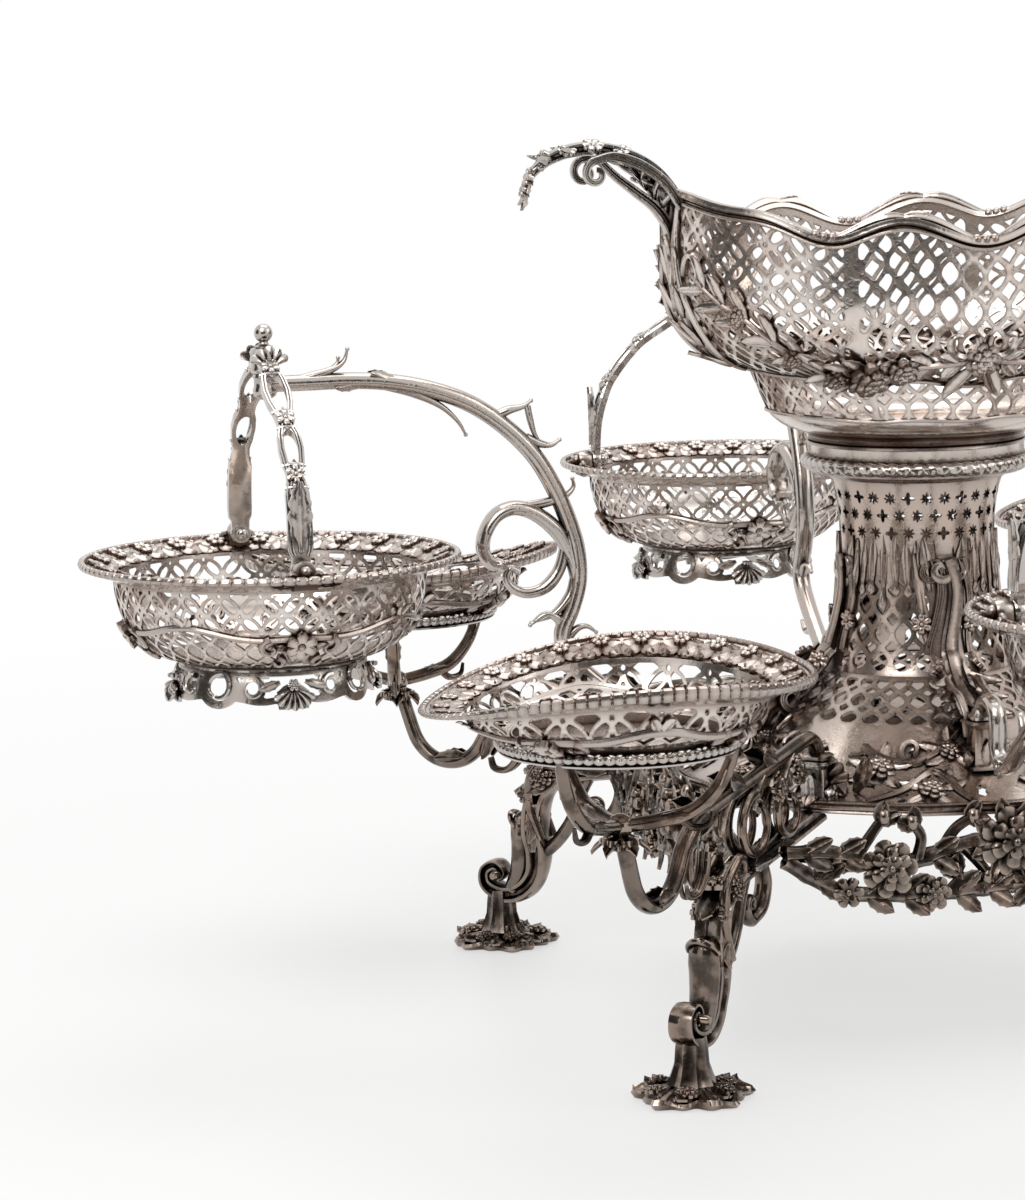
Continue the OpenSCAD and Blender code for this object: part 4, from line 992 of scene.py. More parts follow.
def buttress_shape():
    shape, one = Shape(), Shape()
    wall = Wall(stem_profile(np.linspace(0, 1, 30)))
    head = volute((-1.5, 44.5), 20, 1.2, 5.2, 400, 30)
    spine = np.concatenate([head, spline([(3.6, 42), (4.2, 34), (2.6, 24), (0.6, 15), (0, 9)], 34)[1:]])
    upper = wall.point(spine[:, 0] / STEM_R, spine[:, 1], 1.4)
    fall = spline([(40.2, 149.5), (44.5, 143.5), (51, 137.5), (58.5, 132), (66, 126.5), (70.5, 120)], 34)
    path = np.concatenate([upper, flat(fall)[1:]])
    sweep(one, path, graded(len(path), [0, .3, .6, .9, 1], [0.9, 2.4, 3.0, 3.8, 3.4]), REED, None, 1.35)
    tail = spine[8:]
    for way in (1, -1):
        gap = way * np.linspace(4.5, 8, len(tail))
        edge = wall.point((tail[:, 0] + gap) / STEM_R, tail[:, 1], 0.9)
        sweep(one, edge, taper(len(edge), 1.2, 1.9, 1.3), REED)
        side = flat(spline([(41, 150), (49, 143), (58, 138.5), (66, 136), (72.5, 129), (73.5, 121)], 40))
        sweep(one, side + way * np.linspace(8.5, 5.2, 40)[:, None] * Y, taper(40, 1.5, 2.4, 1.8), REED)
        curl = volute((58, 130.5), 200, 1.2, 6.0, -340, 30)
        sweep(one, flat(curl) + way * 5.6 * Y, taper(30, 1.0, 2.0, 1.6), REED)
        for level, gap, size in ((12, 7.5, 26), (26, 9.0, 26), (36, 6.0, 22)):
            c = way * gap / STEM_R
            one.put(leaf(size, 5.4, 0.0, 2, 1.0, 17, 7),
                    at(wall.point(c, level, 0.9), wall.up(c, level) + 0.14 * way * Y, wall.out(c, level)))
        one.put(flower(4.4, 6, 0.4),
                at(wall.point(way * 10.0 / STEM_R, 22, 1.2), Z, wall.out(way * 10.0 / STEM_R, 22)))
        for (x, z), size in (((50, 143.5), 15), ((59, 138), 14), ((66, 132), 13)):
            one.put(leaf(size, 7, 0.18), at((x, way * 4.5, z), (0.75, way * 0.8, -0.35), (0.5, 0, 1)))
        one.put(flower(4.4, 6, 0.4), at((47.5, way * 8.5, 146), X, (0.6, way * 0.6, 0.5)))
    one.put(leaf(22, 11, 0.12, 4), at((50, 0, 141.5), (1, 0, -0.6), (0.5, 0, 1)))
    for k in range(4):
        shape.put(one, turned(k * TAU / 4))
    return shape


def collar_shape():
    shape = Shape()
    lathe(shape, [(43.6, 0), (39.6, 0), (39.2, 0.4), (41.8, 1.2), (44.8, 1.4), (45.4, 2.0), (44.6, 2.6),
                  (45.0, 5.6), (45.6, 6.4), (45.5, 11.4), (46, 12), (45.8, 13), (43.6, 13)], 120, 0, True,
          z=COLLAR_Z)
    ring(shape, 44.2, COLLAR_Z + 1.2, 1.5, 120, 0, 8)
    return shape


def gadroon_shape():
    shape = Shape()
    ring(shape, 46.0, COLLAR_Z + 4, 3.1, 560, 0, 12,
         lambda a, b: 0.80 + 0.20 * np.abs(np.sin(28 * a + 0.9 * b)))
    return shape


def sockets_shape(x, top, low, half):
    """Four square boxes on the dome, with a moulded lip and an open top."""
    shape, one = Shape(), Shape()
    wall = 1.6
    outside = [(half + 1.2, low), (half + 1.2, low + 1.4), (half, low + 2.4), (half - 0.4, top - 3),
               (half + 0.2, top - 2.2), (half + 0.8, top - 1.2), (half + 0.4, top), (half - wall - 0.6, top),
               (half - wall - 0.8, low + 1.2)]
    square_post(one, x, outside)
    for way in (1, -1):
        one.put(shell(8, 5, 0.3), at((x, way * (half + 0.2), low + 8), -Z, way * Y))
        one.put(leaf(11, 6, 0.1), at((x + way * (half + 0.2), 0, low + 1), Z, way * X))
    for k in range(4):
        shape.put(one, turned(k * TAU / 4 + (0 if x < 90 else TAU / 8)))
    return shape


# Legs and aprons

LEG = [(95, 93.4), (120, 89), (150, 84), (168, 81.4), (177, 79.6), (185.4, 73), (189.4, 63.5), (190, 53),
       (188.6, 43), (190.6, 32), (197, 25), (206, 22.8), (214.4, 26.5), (215.4, 33), (210.4, 36),
       (206.6, 32.4), (209.6, 29.6)]


def leg_shape():
    shape = Shape()
    path = spline(LEG, 190)
    size = graded(190, [0, .35, .5, .62, .72, .8, .88, 1], [4.2, 4.6, 5.4, 5.6, 4.6, 4.4, 3.4, 1.6])
    wide = graded(190, [0, .35, .5, .62, .72, .84, 1], [1.0, 1.1, 1.4, 1.5, 1.3, 1.8, 3.0])
    sweep(shape, flat(path), size, REED, Y, wide)
    sweep(shape, [(208.6, -8.5, 31.6), (208.6, -7.6, 31.6), (208.6, 7.6, 31.6), (208.6, 8.5, 31.6)],
          [1.4, 2.2, 2.2, 1.4])
    shin = spline([(195, 61), (197.2, 56), (197, 46), (198.6, 34), (202.5, 25)], 40)
    size = graded(40, [0, .06, .14, .3, .8, 1], [1.6, 3.6, 4.8, 5.2, 4.4, 4.0])
    sweep(shape, flat(shin), size, SMOOTH, Y, 1.3)
    u = np.linspace(0, math.pi, 20)
    sweep(shape, np.stack([197.5 + 4.6 * np.sin(u), 6.6 * np.cos(u), 55 + 5.6 * np.sin(u)], 1),
          taper(20, 0.9, 1.4, 0.9))
    lathe(shape, [(9.5, 6), (8.2, 9), (6.6, 14), (6.2, 20), (5.6, 24.5)], 26, LEG_X + 0.6, False,
          scalloped(0.09, 9))
    strut = spline([(187, 42), (178, 50), (171, 60), (166, 72), (160, 82)], 44)
    sweep(shape, flat(strut), taper(44, 3.0, 3.0, 2.4), SMOOTH, Y, 1.1)
    curl = scroll([(150, 84), (146, 74), (150, 64), (158, 60)], 26, (158, 66), -90, 6, 2, 290, 24)
    sweep(shape, flat(curl), taper(len(curl), 2.6, 3.0, 1.2), SMOOTH, Y, 1.3)
    for way in (1, -1):
        side = scroll([(184, 50), (190, 66), (188, 80), (178, 89)], 30, (176.5, 84.5), 72, 4.8, 1.6, 300, 22)
        sweep(shape, flat(side) + way * 5.4 * Y, taper(len(side), 1.8, 2.6, 1.3), SMOOTH, Y, 0.9)
        for (x, z), along, length, width in (((176, 79), (0.9, 0, -0.5), 16, 8),
                                             ((188, 66), (0.1, 0, -1), 18, 8),
                                             ((168, 82), (1, 0, 0.1), 14, 8),
                                             ((189, 44), (0.05, 0, 1), 14, 7), ((150, 84), (1, 0, 0), 16, 7),
                                             ((130, 87), (1, 0, -0.1), 15, 7)):
            shape.put(leaf(length, width, 0.1), at((x, way * 5.4, z), along, way * Y))
        shape.put(blossom(6.2), at((183, way * 6.2, 79), X, (0.4, way, 0.3)))
        shape.put(flower(4.0, 6), at((191.6, way * 6.0, 70), X, (0.5, way, 0.1)))
    for (x, z), along in (((186, 80), (0.8, 0, -0.7)), ((192.6, 70), (0.15, 0, -1)), ((195, 58), (0, 0, -1))):
        shape.put(leaf(18, 11, 0.06, 4, 0.9), at((x, 0, z), along, (1, 0, 0.25)))
    shape.put(blossom(7), at((188.5, 0, 80), X, (0.8, 0, 0.8)))
    foot_shape(shape)
    return shape


def foot_shape(shape):
    """A rocaille pad: a lumpy leafy disc round the ankle."""
    def lumps(g, a):
        r = np.hypot(g[..., 0], g[..., 1])
        k = (1.02 + 0.10 * np.cos(5 * a + 0.6) + 0.07 * np.cos(13 * a + 2)) * np.ones_like(r)
        g = g * np.stack([k, k, 1 + 0.25 * np.cos(7 * a + 0.6) * (r > 9)], -1)
        g[..., 2] = np.maximum(g[..., 2], 0)
        return g

    lathe(shape, [(4, 0), (15, 0), (20.4, 0), (21.6, 1.8), (20.6, 3.4), (16, 4.0), (11, 4.6), (8.4, 6),
                  (7.2, 9), (4, 9.5)], 84, LEG_X, False, lumps)
    for k in range(11):
        a = k * TAU / 11 + 0.2
        out = polar(a)[0]
        spot = np.array([LEG_X, 0, 3.8]) + (10 + 3 * math.sin(3.1 * k)) * out
        shape.put(leaf(12.5, 9.5, 0.0 if k % 2 else 0.08, 3, 1.0),
                  at(spot, out + 0.4 * math.sin(2 * k) * np.cross(Z, out), Z + 0.15 * out))
    for a, r, size in ((0.35, 15, 5.0), (-0.5, 17, 4.4), (2.4, 14, 4.4), (3.6, 16, 4.6), (1.5, 15, 4.2),
                       (-1.5, 15, 4.2)):
        shape.put(blossom(size),
                  at((LEG_X + r * math.cos(a), r * math.sin(a), 5.2), X,
                     (0.35 * math.cos(a), 0.35 * math.sin(a), 1)))


def apron_shape():
    shape = Shape()
    x = 107.0
    for way in (1, -1):
        mirror = np.array([way, 1])
        upper = mirror * spline([(95.4, 84.7), (80, 84), (66, 81.4), (52.5, 76.6), (38, 79), (20, 83.5),
                                 (4, 84.9)], 60)
        lower = mirror * spline([(95.4, 82.3), (84, 74.6), (70, 67.6), (54, 65.6), (36, 64.4), (18, 64.8),
                                 (0, 65.4)], 60)
        for path, size in ((upper, 3.2), (lower, 2.9)):
            knots = size * (1 + 0.14 * np.cos(np.linspace(0, 9 * math.pi, 60)) ** 6)
            sweep(shape, flat(path, x), knots, FLUTE, X)
        tie = mirror * spline([(52, 76), (46, 71), (38, 66)], 16)
        sweep(shape, flat(tie, x), 2.6, FLUTE, X)
        twigs = [((66, 81.4), (58, 92), (54, 97)), ((30, 81), (24, 90), (16, 95)),
                 ((40, 78.5), (38, 88), (42, 94)), ((20, 83), (12, 74), (10, 70)),
                 ((84, 75), (78, 78), (74, 80)), ((26, 65), (22, 70), (24, 74))]
        for twig in twigs:
            p = flat(mirror * spline(twig, 16), x + 0.8)
            sweep(shape, p, taper(16, 2.4, 2.2, 2.0), FLUTE)
            for lean in (0.5, -0.5):
                d = unit(p[-1] - p[-3])
                shape.put(leaf(10, 7.0, 0.18), at(p[-1] - 3.5 * d, d + lean * np.cross(X, d), X))
            bead(shape, p[-1], 3.2, 1.2)
        for (y, z), lean in (((88, 84.4), 0.5), ((74, 83), -0.5), ((60, 78.6), 0.6), ((34, 80), 0.6),
                             ((82, 73), -0.6), ((62, 66.2), 0.6), ((46, 65), -0.7), ((24, 64.8), 0.7),
                             ((10, 65), -0.6)):
            for turn in (lean, -lean):
                shape.put(leaf(13, 7.6, 0.16),
                          at((x + 1.6, way * y, z), (0.1, -way * math.cos(turn), math.sin(turn)), X))
        shape.put(blossom(12), at((x + 1.4, way * 52.5, 76.4), Y, (1, way * 0.15, 0.1)))
        shape.put(blossom(8.0), at((x + 1.6, way * 34, 65), Y, (1, 0, -0.1)))
        shape.put(flower(6.5, 6, 0.4), at((x + 1.8, way * 70, 68), Y, X))
    for a in np.arange(8) * TAU / 8 + 0.3:
        shape.put(leaf(19, 8.5, 0.10), at((x + 0.8, 0, 84.4), (0.1, math.cos(a), math.sin(a)), X))
    shape.put(blossom(14.5), at((x + 1.6, 0, 84.4), Y, X))
    return shape


# Centre basket

def centre_rim(a):
    wave = 4.5 * np.cos(10 * a) * np.minimum(1, 1.6 * np.abs(np.sin(a)) ** 3)
    return CENTRE_RIM + wave + 16 * np.abs(np.cos(a)) ** 4


def centre_section():
    """Share of the way up the wall, flare and height of the two-tier bowl."""
    u = np.linspace(0, 1, 80)
    arc = 1 - np.cos(u * math.pi / 2)
    height = np.concatenate([0.1 * arc, 0.1 + 0.18 * u[1:], 0.28 + 0.41 * arc[1:], 0.69 + 0.31 * u[1:]])
    round_ = lambda q: np.sqrt(1 - (1 - np.clip(q, 0, 1)) ** 2)
    flare = np.where(height < 0.28, 0.22 * round_(height / 0.1) + 0.2 * height / 0.28,
                     0.42 + 0.58 * round_((height - 0.28) / 0.41))
    length = np.hypot(np.diff(flare) * 50, np.diff(height) * 92)
    return np.concatenate([[0], np.cumsum(length)]) / length.sum(), flare, height


CENTRE_WAY, CENTRE_FLARE, CENTRE_HEIGHT = centre_section()


def centre_point(a, t, lift=0.0):
    """A point on the bowl by angle and share of the way up its wall, lifted off its outside."""
    f, h = np.interp(t, CENTRE_WAY, CENTRE_FLARE), np.interp(t, CENTRE_WAY, CENTRE_HEIGHT)
    x, y = (46 + 61 * f) * np.cos(a), (46 + 38 * f) * np.sin(a)
    z = CENTRE_Z + h * (centre_rim(a) - CENTRE_Z)
    made = np.stack(np.broadcast_arrays(x, y, z), -1)
    return made + lift * centre_out(a, t) if lift else made


STEP = 6e-3    # Step for slopes on the bowl, in radians and in shares of the way up


def centre_up(a, t):
    t = np.clip(t, STEP, 1 - STEP)
    return unit(centre_point(a, t + STEP) - centre_point(a, t - STEP))


def centre_out(a, t):
    t = np.clip(t, STEP, 1 - STEP)
    return unit(np.cross(centre_point(a + STEP, t) - centre_point(a - STEP, t),
                         centre_point(a, t + STEP) - centre_point(a, t - STEP)))


def centre_round(a, t):
    return unit(centre_point(a + 1e-3, t) - centre_point(a - 1e-3, t))


def centre_tier_shape(low, high, n, m, lower):
    """A tier of the bowl's pierced wall, between two shares of the way up."""
    shape = Shape()
    a, t = np.meshgrid(np.arange(n) * TAU / n, np.linspace(low, high, m), indexing="ij")
    outer = centre_point(a, t)
    inner = outer - 1.3 * centre_out(a, t)
    end = np.abs((a + TAU / 4) % (TAU / 2) - TAU / 4)
    side = TAU / 4 - end
    y = CENTRE_L * t
    reach = 62 if lower else 88
    if lower:
        net = ogees(a * reach, y - 3, TAU * reach / 44, 13, 1.7)
        rosettes = circles(a * reach, y - 27.5, DIAGONAL * TAU * reach / 24, 1.6, 1.0)
        metal = either(np.where(side < 0.56, net, rosettes), reach * (0.022 - np.abs(side - 0.56)),
                       CENTRE_L * (0.15 - t), CENTRE_L * (t - 0.325))
    else:
        net = ogees(a * reach, y + 2, TAU * reach / 66, 16, 1.7)
        rosettes = circles(a * reach, y - 3, DIAGONAL * TAU * reach / 32, 1.6, 1.1)
        strap = either(reach * (0.15 - end), reach * (0.028 - np.abs(side - 0.52)))
        metal = either(np.where(side < 0.52, net, rosettes), strap, CENTRE_L * (0.35 - t),
                       CENTRE_L * (t - 0.965))
    pierced(shape, outer, inner, metal)
    if lower:    # The floor over the foot
        edge = centre_point(np.arange(n) * TAU / n, 0.0)
        middle = np.array([0, 0, edge[0, 2]])
        for lift in (0.0, 1.3):
            disc = middle + (edge - middle)[:, None] * np.linspace(0.03, 1, 8)[None, :, None] + lift * Z
            shape.add(disc.reshape(-1, 3), quads(n, 8, True)[:, ::1 if lift else -1])
        bead(shape, middle + 0.6 * Z, 2.2)
    return shape


def centre_relief_shape():
    """Rim, shoulder line, end straps and garlands of the centre bowl."""
    shape = Shape()
    q = np.append(np.arange(300) * TAU / 300, TAU)
    sweep(shape, centre_point(q, 1.0), 1.9, FLUTE)
    sweep(shape, centre_point(q, 0.972, 0.4), 0.9)
    for middle in (TAU / 4, -TAU / 4):
        for way in (1, -1):
            crest, trough = middle + way * TAU / 20, middle + way * TAU / 10
            for lean in (1, -1):
                u = np.linspace(-0.03, 0.27, 30)
                lift = 0.8 + 2.4 * np.sin(math.pi * np.clip((u + 0.03) / 0.30, 0, 1)) ** 0.7
                sweep(shape, centre_point(crest + lean * u, 1.0) + lift[:, None] * Z,
                      taper(30, 1.1, 1.8, 1.1), FLUTE)
            shape.put(leaf(10, 5, 0.1),
                      at(centre_point(crest, 1.0) + 2.6 * Z, -way * centre_round(crest, 1.0),
                         centre_out(crest, 0.95) + Z))
            for lean in (-0.035, 0, 0.035):
                bead(shape, centre_point(trough + lean, 1.0) + 0.8 * Z, 2.3)
        for lean in (-0.035, 0, 0.035):
            bead(shape, centre_point(middle + lean, 1.0) + 0.8 * Z, 2.3)
    q = np.linspace(0, TAU, 241)
    sweep(shape, centre_point(q, 0.338, 0.3), 1.2)
    sweep(shape, centre_point(q, 0.15, 0.2), 0.8)
    for middle in (0, math.pi):
        for way in (1, -1):
            u = np.linspace(0, 1, 40)
            edge = centre_point(middle + way * (0.16 + 0.05 * np.sin(6 * u)), 0.36 + 0.62 * u, 0.5)
            sweep(shape, edge, taper(40, 1.0, 1.9, 1.3), FLUTE)
            curl = volute((0.26, 0.76), 190, 0.075, 0.02, -320, 26)
            sweep(shape, centre_point(middle + way * curl[:, 0], 0.76 + (curl[:, 1] - 0.76) * 1.1, 0.6),
                  taper(26, 1.6, 1.6, 0.8), FLUTE)
            for level, lean in ((0.38, 0.3), (0.49, 0.3), (0.60, 0.35), (0.71, 0.4), (0.82, 0.45)):
                c = middle + way * 0.05
                shape.put(leaf(17, 7.5, 0.02),
                          at(centre_point(c, level, 0.3),
                             centre_up(c, level) + way * lean * centre_round(c, level), centre_out(c, level)))
        shape.put(leaf(32, 11, 0.0, 5, 0.8, 17, 9),
                  at(centre_point(middle, 0.62, 0.6), centre_up(middle, 0.7), centre_out(middle, 0.7)))
    for side in (1, -1):
        base = side * math.pi / 2
        for way in (1, -1):
            u = np.linspace(0, 1, 70)
            aa = base + way * (0.02 + 1.30 * u)
            tt = 0.54 - 0.10 * np.sin(math.pi * np.clip(u / 0.75, 0, 1)) + 0.5 * np.clip(u - 0.5, 0, 1) ** 1.2
            path = centre_point(aa, tt, 1.0)
            sweep(shape, path, taper(70, 1.3, 1.4, 1.0))
            for i in range(4, 68, 6):
                d, out = unit(path[i + 1] - path[i - 1]), centre_out(aa[i], tt[i])
                for lean in (0.75, -0.75):
                    shape.put(leaf(12 + 3 * math.sin(i), 6.0, 0.10),
                              at(path[i], d + lean * np.cross(out, d), out))
            for i, size in ((25, 10.5), (33, 7.0), (17, 7.5), (42, 5.6), (54, 5.2)):
                out = centre_out(aa[i], tt[i])
                shape.put(blossom(size), at(path[i] + 0.6 * out, X + 0.1 * Z, out))
            for i, up in ((25, 1.0), (28, 0.7), (35, 1.2)):
                d = centre_up(aa[i], tt[i]) * up + 0.5 * way * centre_round(aa[i], tt[i])
                shape.put(leaf(18, 7, 0.10), at(path[i], d, centre_out(aa[i], tt[i])))
            curl = volute((0.0, 0.60), 90, 0.03, 0.07, -300, 24)
            sweep(shape, centre_point(base + way * (0.09 + curl[:, 0]), curl[:, 1], 0.8),
                  taper(24, 0.8, 1.8, 1.2), FLUTE)
            d = -centre_up(base, 0.45) + 0.5 * way * centre_round(base, 0.45)
            shape.put(leaf(20, 8, 0.06),
                      at(centre_point(base + way * 0.03, 0.50, 0.5), d, centre_out(base, 0.45)))
        shape.put(blossom(8), at(centre_point(base, 0.54, 0.8), X, centre_out(base, 0.54)))
    return shape


def centre_foot_shape():
    shape = Shape()
    lathe(shape, [(41.0, -9.8), (43.0, -9.8), (43.2, 0), (45.0, 0), (45.9, 0.6), (45.2, 1.4), (45.9, 2.2),
                  (45.0, 3.6), (46.0, 4.0), (41.0, 4.0)], 120, 0, True, z=FOOT_Z)
    return shape


def centre_handle_shape():
    shape = Shape()
    top = spline([(104, 326), (104.6, 335), (108, 345), (117, 354.6), (130, 360.8), (144, 362.6),
                  (157, 359.4), (166, 352.4), (168.4, 345.4)], 80)
    sweep(shape, flat(top), graded(80, [0, .3, .8, 1], [3.4, 3.4, 2.6, 1.4]), REED, Y,
          graded(80, [0, .4, .8, 1], [3.2, 2.2, 1.6, 1.0]))
    low = spline([(105, 318.6), (107.4, 329), (113, 337.6), (121, 344), (130, 351), (136, 357)], 50)
    sweep(shape, flat(low), taper(50, 2.2, 2.4, 1.6), REED, Y, 1.6)
    for way in (1, -1):
        side = scroll([(105.5, 338), (112, 348), (122, 355.6), (133, 359.4), (142, 357.8)], 40,
                      (140.4, 352.4), 72, 5.6, 1.8, -330, 26)
        spread = graded(len(side), [0, 1], [13, 8])
        path = flat(side) + way * spread[:, None] * Y
        sweep(shape, path, taper(len(side), 2.0, 2.2, 1.1), REED, Y, 1.1)
        for i in (6, 13, 20, 27):
            foot = np.array([108 + 0.42 * i, 0, 333 + 0.62 * i])
            sweep(shape, [path[i], (path[i] + foot) / 2 + 0.8 * X, foot], 1.1)
        for x, z in ((112, 348), (122, 356), (133, 360), (146, 362), (156, 359)):
            shape.put(leaf(11, 5.5, 0.15), at((x, way * 2.0, z), (1, way * 0.6, 0), (-0.2, way * 0.3, 1)))
        for (x, z), size in (((128, 361), 4.0), ((140, 363.2), 4.6), ((151, 361.6), 4.0)):
            shape.put(flower(size, 6, 0.4), at((x, way * 3.4, z), X, (0, way * 0.5, 1)))
    for (x, z), along, size in (((160, 358), (0.8, 0, -0.6), 5.0), ((166, 351.4), (0.3, 0, -1), 4.4),
                                ((168.4, 346.6), (0.1, 0, -1), 3.4)):
        shape.put(flower(size, 6, 0.5), at((x, 0, z), Y, (0.8, 0, 0.3)))
        for way in (0.8, -0.8, 0):
            shape.put(leaf(8.5, 4.2, 0.1), at((x, 0, z), np.array(along) + way * Y, (0.7, 0, 0.5)))
    bead(shape, (168.6, 0, 343.6), 1.9, 1.4)
    return shape


# Materials

def silver(name, clean, shade, rough, rub, patina=0.0):
    """Old silver, clouded, brown in its hollows, where patina and painted shade both darken it. Edges are
    rubbed bright, or brown for a negative rub.
    """
    made = bpy.data.materials.new(name)
    made.use_nodes = True
    nodes, links = made.node_tree.nodes, made.node_tree.links
    shader = nodes["Principled BSDF"]
    shader.inputs["Metallic"].default_value = 1.0
    coords = nodes.new("ShaderNodeTexCoord")

    def noise(scale, detail):
        n = nodes.new("ShaderNodeTexNoise")
        n.inputs["Scale"].default_value = scale
        n.inputs["Detail"].default_value = detail
        links.new(coords.outputs["Object"], n.inputs["Vector"])
        return n.outputs["Fac"]

    def remap(value, a, b, c, d):
        n = nodes.new("ShaderNodeMapRange")
        links.new(value, n.inputs["Value"])
        for key, number in zip(("From Min", "From Max", "To Min", "To Max"), (a, b, c, d)):
            n.inputs[key].default_value = number
        return n.outputs["Result"]

    def sums(a, b, how="ADD"):
        n = nodes.new("ShaderNodeMath")
        n.operation, n.use_clamp = how, True
        links.new(a, n.inputs[0])
        links.new(b, n.inputs[1])
        return n.outputs[0]

    def mix(factor, a, b):
        n = nodes.new("ShaderNodeMix")
        n.data_type = "RGBA"
        links.new(factor, n.inputs["Factor"])
        for socket, value in ((n.inputs[6], a), (n.inputs[7], b)):
            if isinstance(value, tuple):
                socket.default_value = (*value, 1)
            else:
                links.new(value, socket)
        return n.outputs[2]

    # Ambient occlusion darkens hollows, creases and the undersides of leaves: patina there, and painted shade
    # as well.
    hollow = nodes.new("ShaderNodeAmbientOcclusion")
    hollow.samples = 6
    hollow.inputs["Distance"].default_value = 0.007
    cloud, fine = noise(38, 4), noise(420, 3)
    tarnish_and_shade = sums(remap(hollow.outputs["AO"], 0.30, 0.97, 1.0, 0.0), remap(cloud, 0.35, 0.75, 0.75, 1.5),
                "MULTIPLY")
    tarnish_and_shade = sums(tarnish_and_shade, remap(noise(110, 5), 0.40, 0.60, 0.0, patina))
    bloom = remap(cloud, 0.42, 0.70, 0.0, 0.6)
    pink = tuple(0.5 * c + 0.5 * w for c, w in zip(clean, (0.52, 0.33, 0.25)))
    edge = nodes.new("ShaderNodeNewGeometry").outputs["Pointiness"]
    rubbed = tuple(min(0.7, 2.4 * c) for c in clean)
    face = mix(remap(edge, 0.52, 0.62, 0.0, max(0, rub)), mix(bloom, clean, pink), rubbed)
    tarnish_and_shade = sums(tarnish_and_shade, remap(edge, 0.51, 0.60, 0.0, rub), "SUBTRACT")
    # The base colour goes towards the shade colour in hollows, as patina and as painted shade.
    links.new(mix(tarnish_and_shade, face, shade), shader.inputs["Base Color"])
    links.new(sums(remap(tarnish_and_shade, 0, 1, rough, rough + 0.18), remap(fine, 0.3, 0.7, -0.03, 0.06)),
              shader.inputs["Roughness"])
    bump = nodes.new("ShaderNodeBump")
    bump.inputs["Strength"].default_value = 0.22
    bump.inputs["Distance"].default_value = 0.0006
    links.new(sums(noise(160, 2), fine), bump.inputs["Height"])
    links.new(bump.outputs["Normal"], shader.inputs["Normal"])
    return made


# Each finish: clean colour, then the colour its hollows take, which is patina and painted shade together.
FINISH = {"silver_bright": silver("silver_bright", (0.72, 0.66, 0.61), (0.115, 0.070, 0.052), 0.16, -0.65),
          "silver_cast": silver("silver_cast", (0.47, 0.43, 0.392), (0.035, 0.024, 0.019), 0.15, 0.45),
          "silver_dark": silver("silver_dark", (0.165, 0.136, 0.115), (0.010, 0.007, 0.006), 0.12, 0.9, 0.85)}
WARM = silver("silver_warm", (0.50, 0.425, 0.375), (0.055, 0.034, 0.027), 0.17, -0.45)


def piece(name, shape, slot, body, nodes, turn=0.0, finish=None):
    """Makes an object that stands for CAD nodes and rides their body. Gives its mesh for the next copy."""
    if isinstance(shape, Shape):
        shape = shape.mesh(name, finish or FINISH[slot])
    made = bpy.data.objects.new(name, shape)
    made.rotation_euler[2] = math.radians(turn)
    bpy.context.scene.collection.objects.link(made)
    bpy.context.view_layer.update()
    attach(made, body)
    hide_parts(*nodes)
    return shape


piece("dome", dome_shape(), "silver_bright", "stand", ["base_plate"], finish=WARM)
piece("dome_moulding", moulding_shape(), "silver_cast", "stand", ["base_moulding"], finish=WARM)
piece("stem_low", stem_wall_shape(0.0, 0.6, 300, 60), "silver_bright", "stand", ["stem"], finish=WARM)
piece("stem_high", stem_wall_shape(0.6, 1.0, 420, 58), "silver_bright", "stand", ["stem"], finish=WARM)
piece("stem_flames", stem_relief_shape(), "silver_bright", "stand", ["stem"], finish=WARM)
piece("buttresses", buttress_shape(), "silver_cast", "stand", ["stem_buttresses"], finish=WARM)
piece("stem_collar", collar_shape(), "silver_bright", "stand", ["collar"])
piece("rope_ring", gadroon_shape(), "silver_cast", "stand", ["gadroon_ring"])
piece("upper_sockets", sockets_shape(77, 128.3, 108.5, 6.0), "silver_bright", "stand", ["arm_sockets"],
      finish=WARM)
piece("lower_sockets", sockets_shape(96.5, 114.7, 97.6, 6.0), "silver_cast", "stand", ["dish_sockets"])
piece("oval_bowl_low", centre_tier_shape(0.0, 0.34, 400, 48, True), "silver_bright", "centre",
      ["centre_basket"])
piece("oval_bowl_high", centre_tier_shape(0.34, 1.0, 520, 74, False), "silver_bright", "centre",
      ["centre_basket"])
piece("oval_garland", centre_relief_shape(), "silver_bright", "centre", ["centre_basket"])
piece("oval_foot", centre_foot_shape(), "silver_bright", "centre", ["centre_foot"])
grip = centre_handle_shape()
for name, turn in (("right", 0), ("left", 180)):
    grip = piece("oval_handle_" + name, grip, "silver_cast", "centre", ["centre_handle_" + name], turn)


def copies(turns, *pieces):
    """Turned copies of each piece, named after their places."""
    for label, shape, slot, body, node in pieces:
        for where, turn in turns.items():
            rides = body if body == "stand" else f"{where}_{body}"
            shape = piece(f"{label}_{where}", shape, slot, rides, [f"{node}_{where}"], turn)


copies(SIDES,
       ("branch_apron", apron_shape(), "silver_dark", "stand", "apron"),
       ("scroll_arm", arm_shape(), "silver_cast", "arm", "arm"),
       ("ball", finial_shape(), "silver_cast", "arm", "finial"),
       ("strap_handle", handle_shape(), "silver_cast", "handle", "handle"),
       ("bowl", basket_shape(), "silver_bright", "basket", "basket"),
       ("foot_ring", skirt_shape(), "silver_cast", "basket", "basket_skirt"),
       ("ball_pins", pins_shape(), "silver_cast", "basket", "basket_pins"))
cast_ring = dish_ring_shape().mesh("beaded_ring", FINISH["silver_cast"])
copies(CORNERS,
       ("scroll_leg", leg_shape(), "silver_dark", "stand", "leg"),
       ("ring_arm", dish_arm_shape(), "silver_dark", "branch", "dish_arm"),
       ("beaded_ring", cast_ring, "silver_dark", "branch", "dish_arm"),
       ("round_dish", dish_shape(), "silver_bright", "dish", "dish"))


# Floor, light and camera

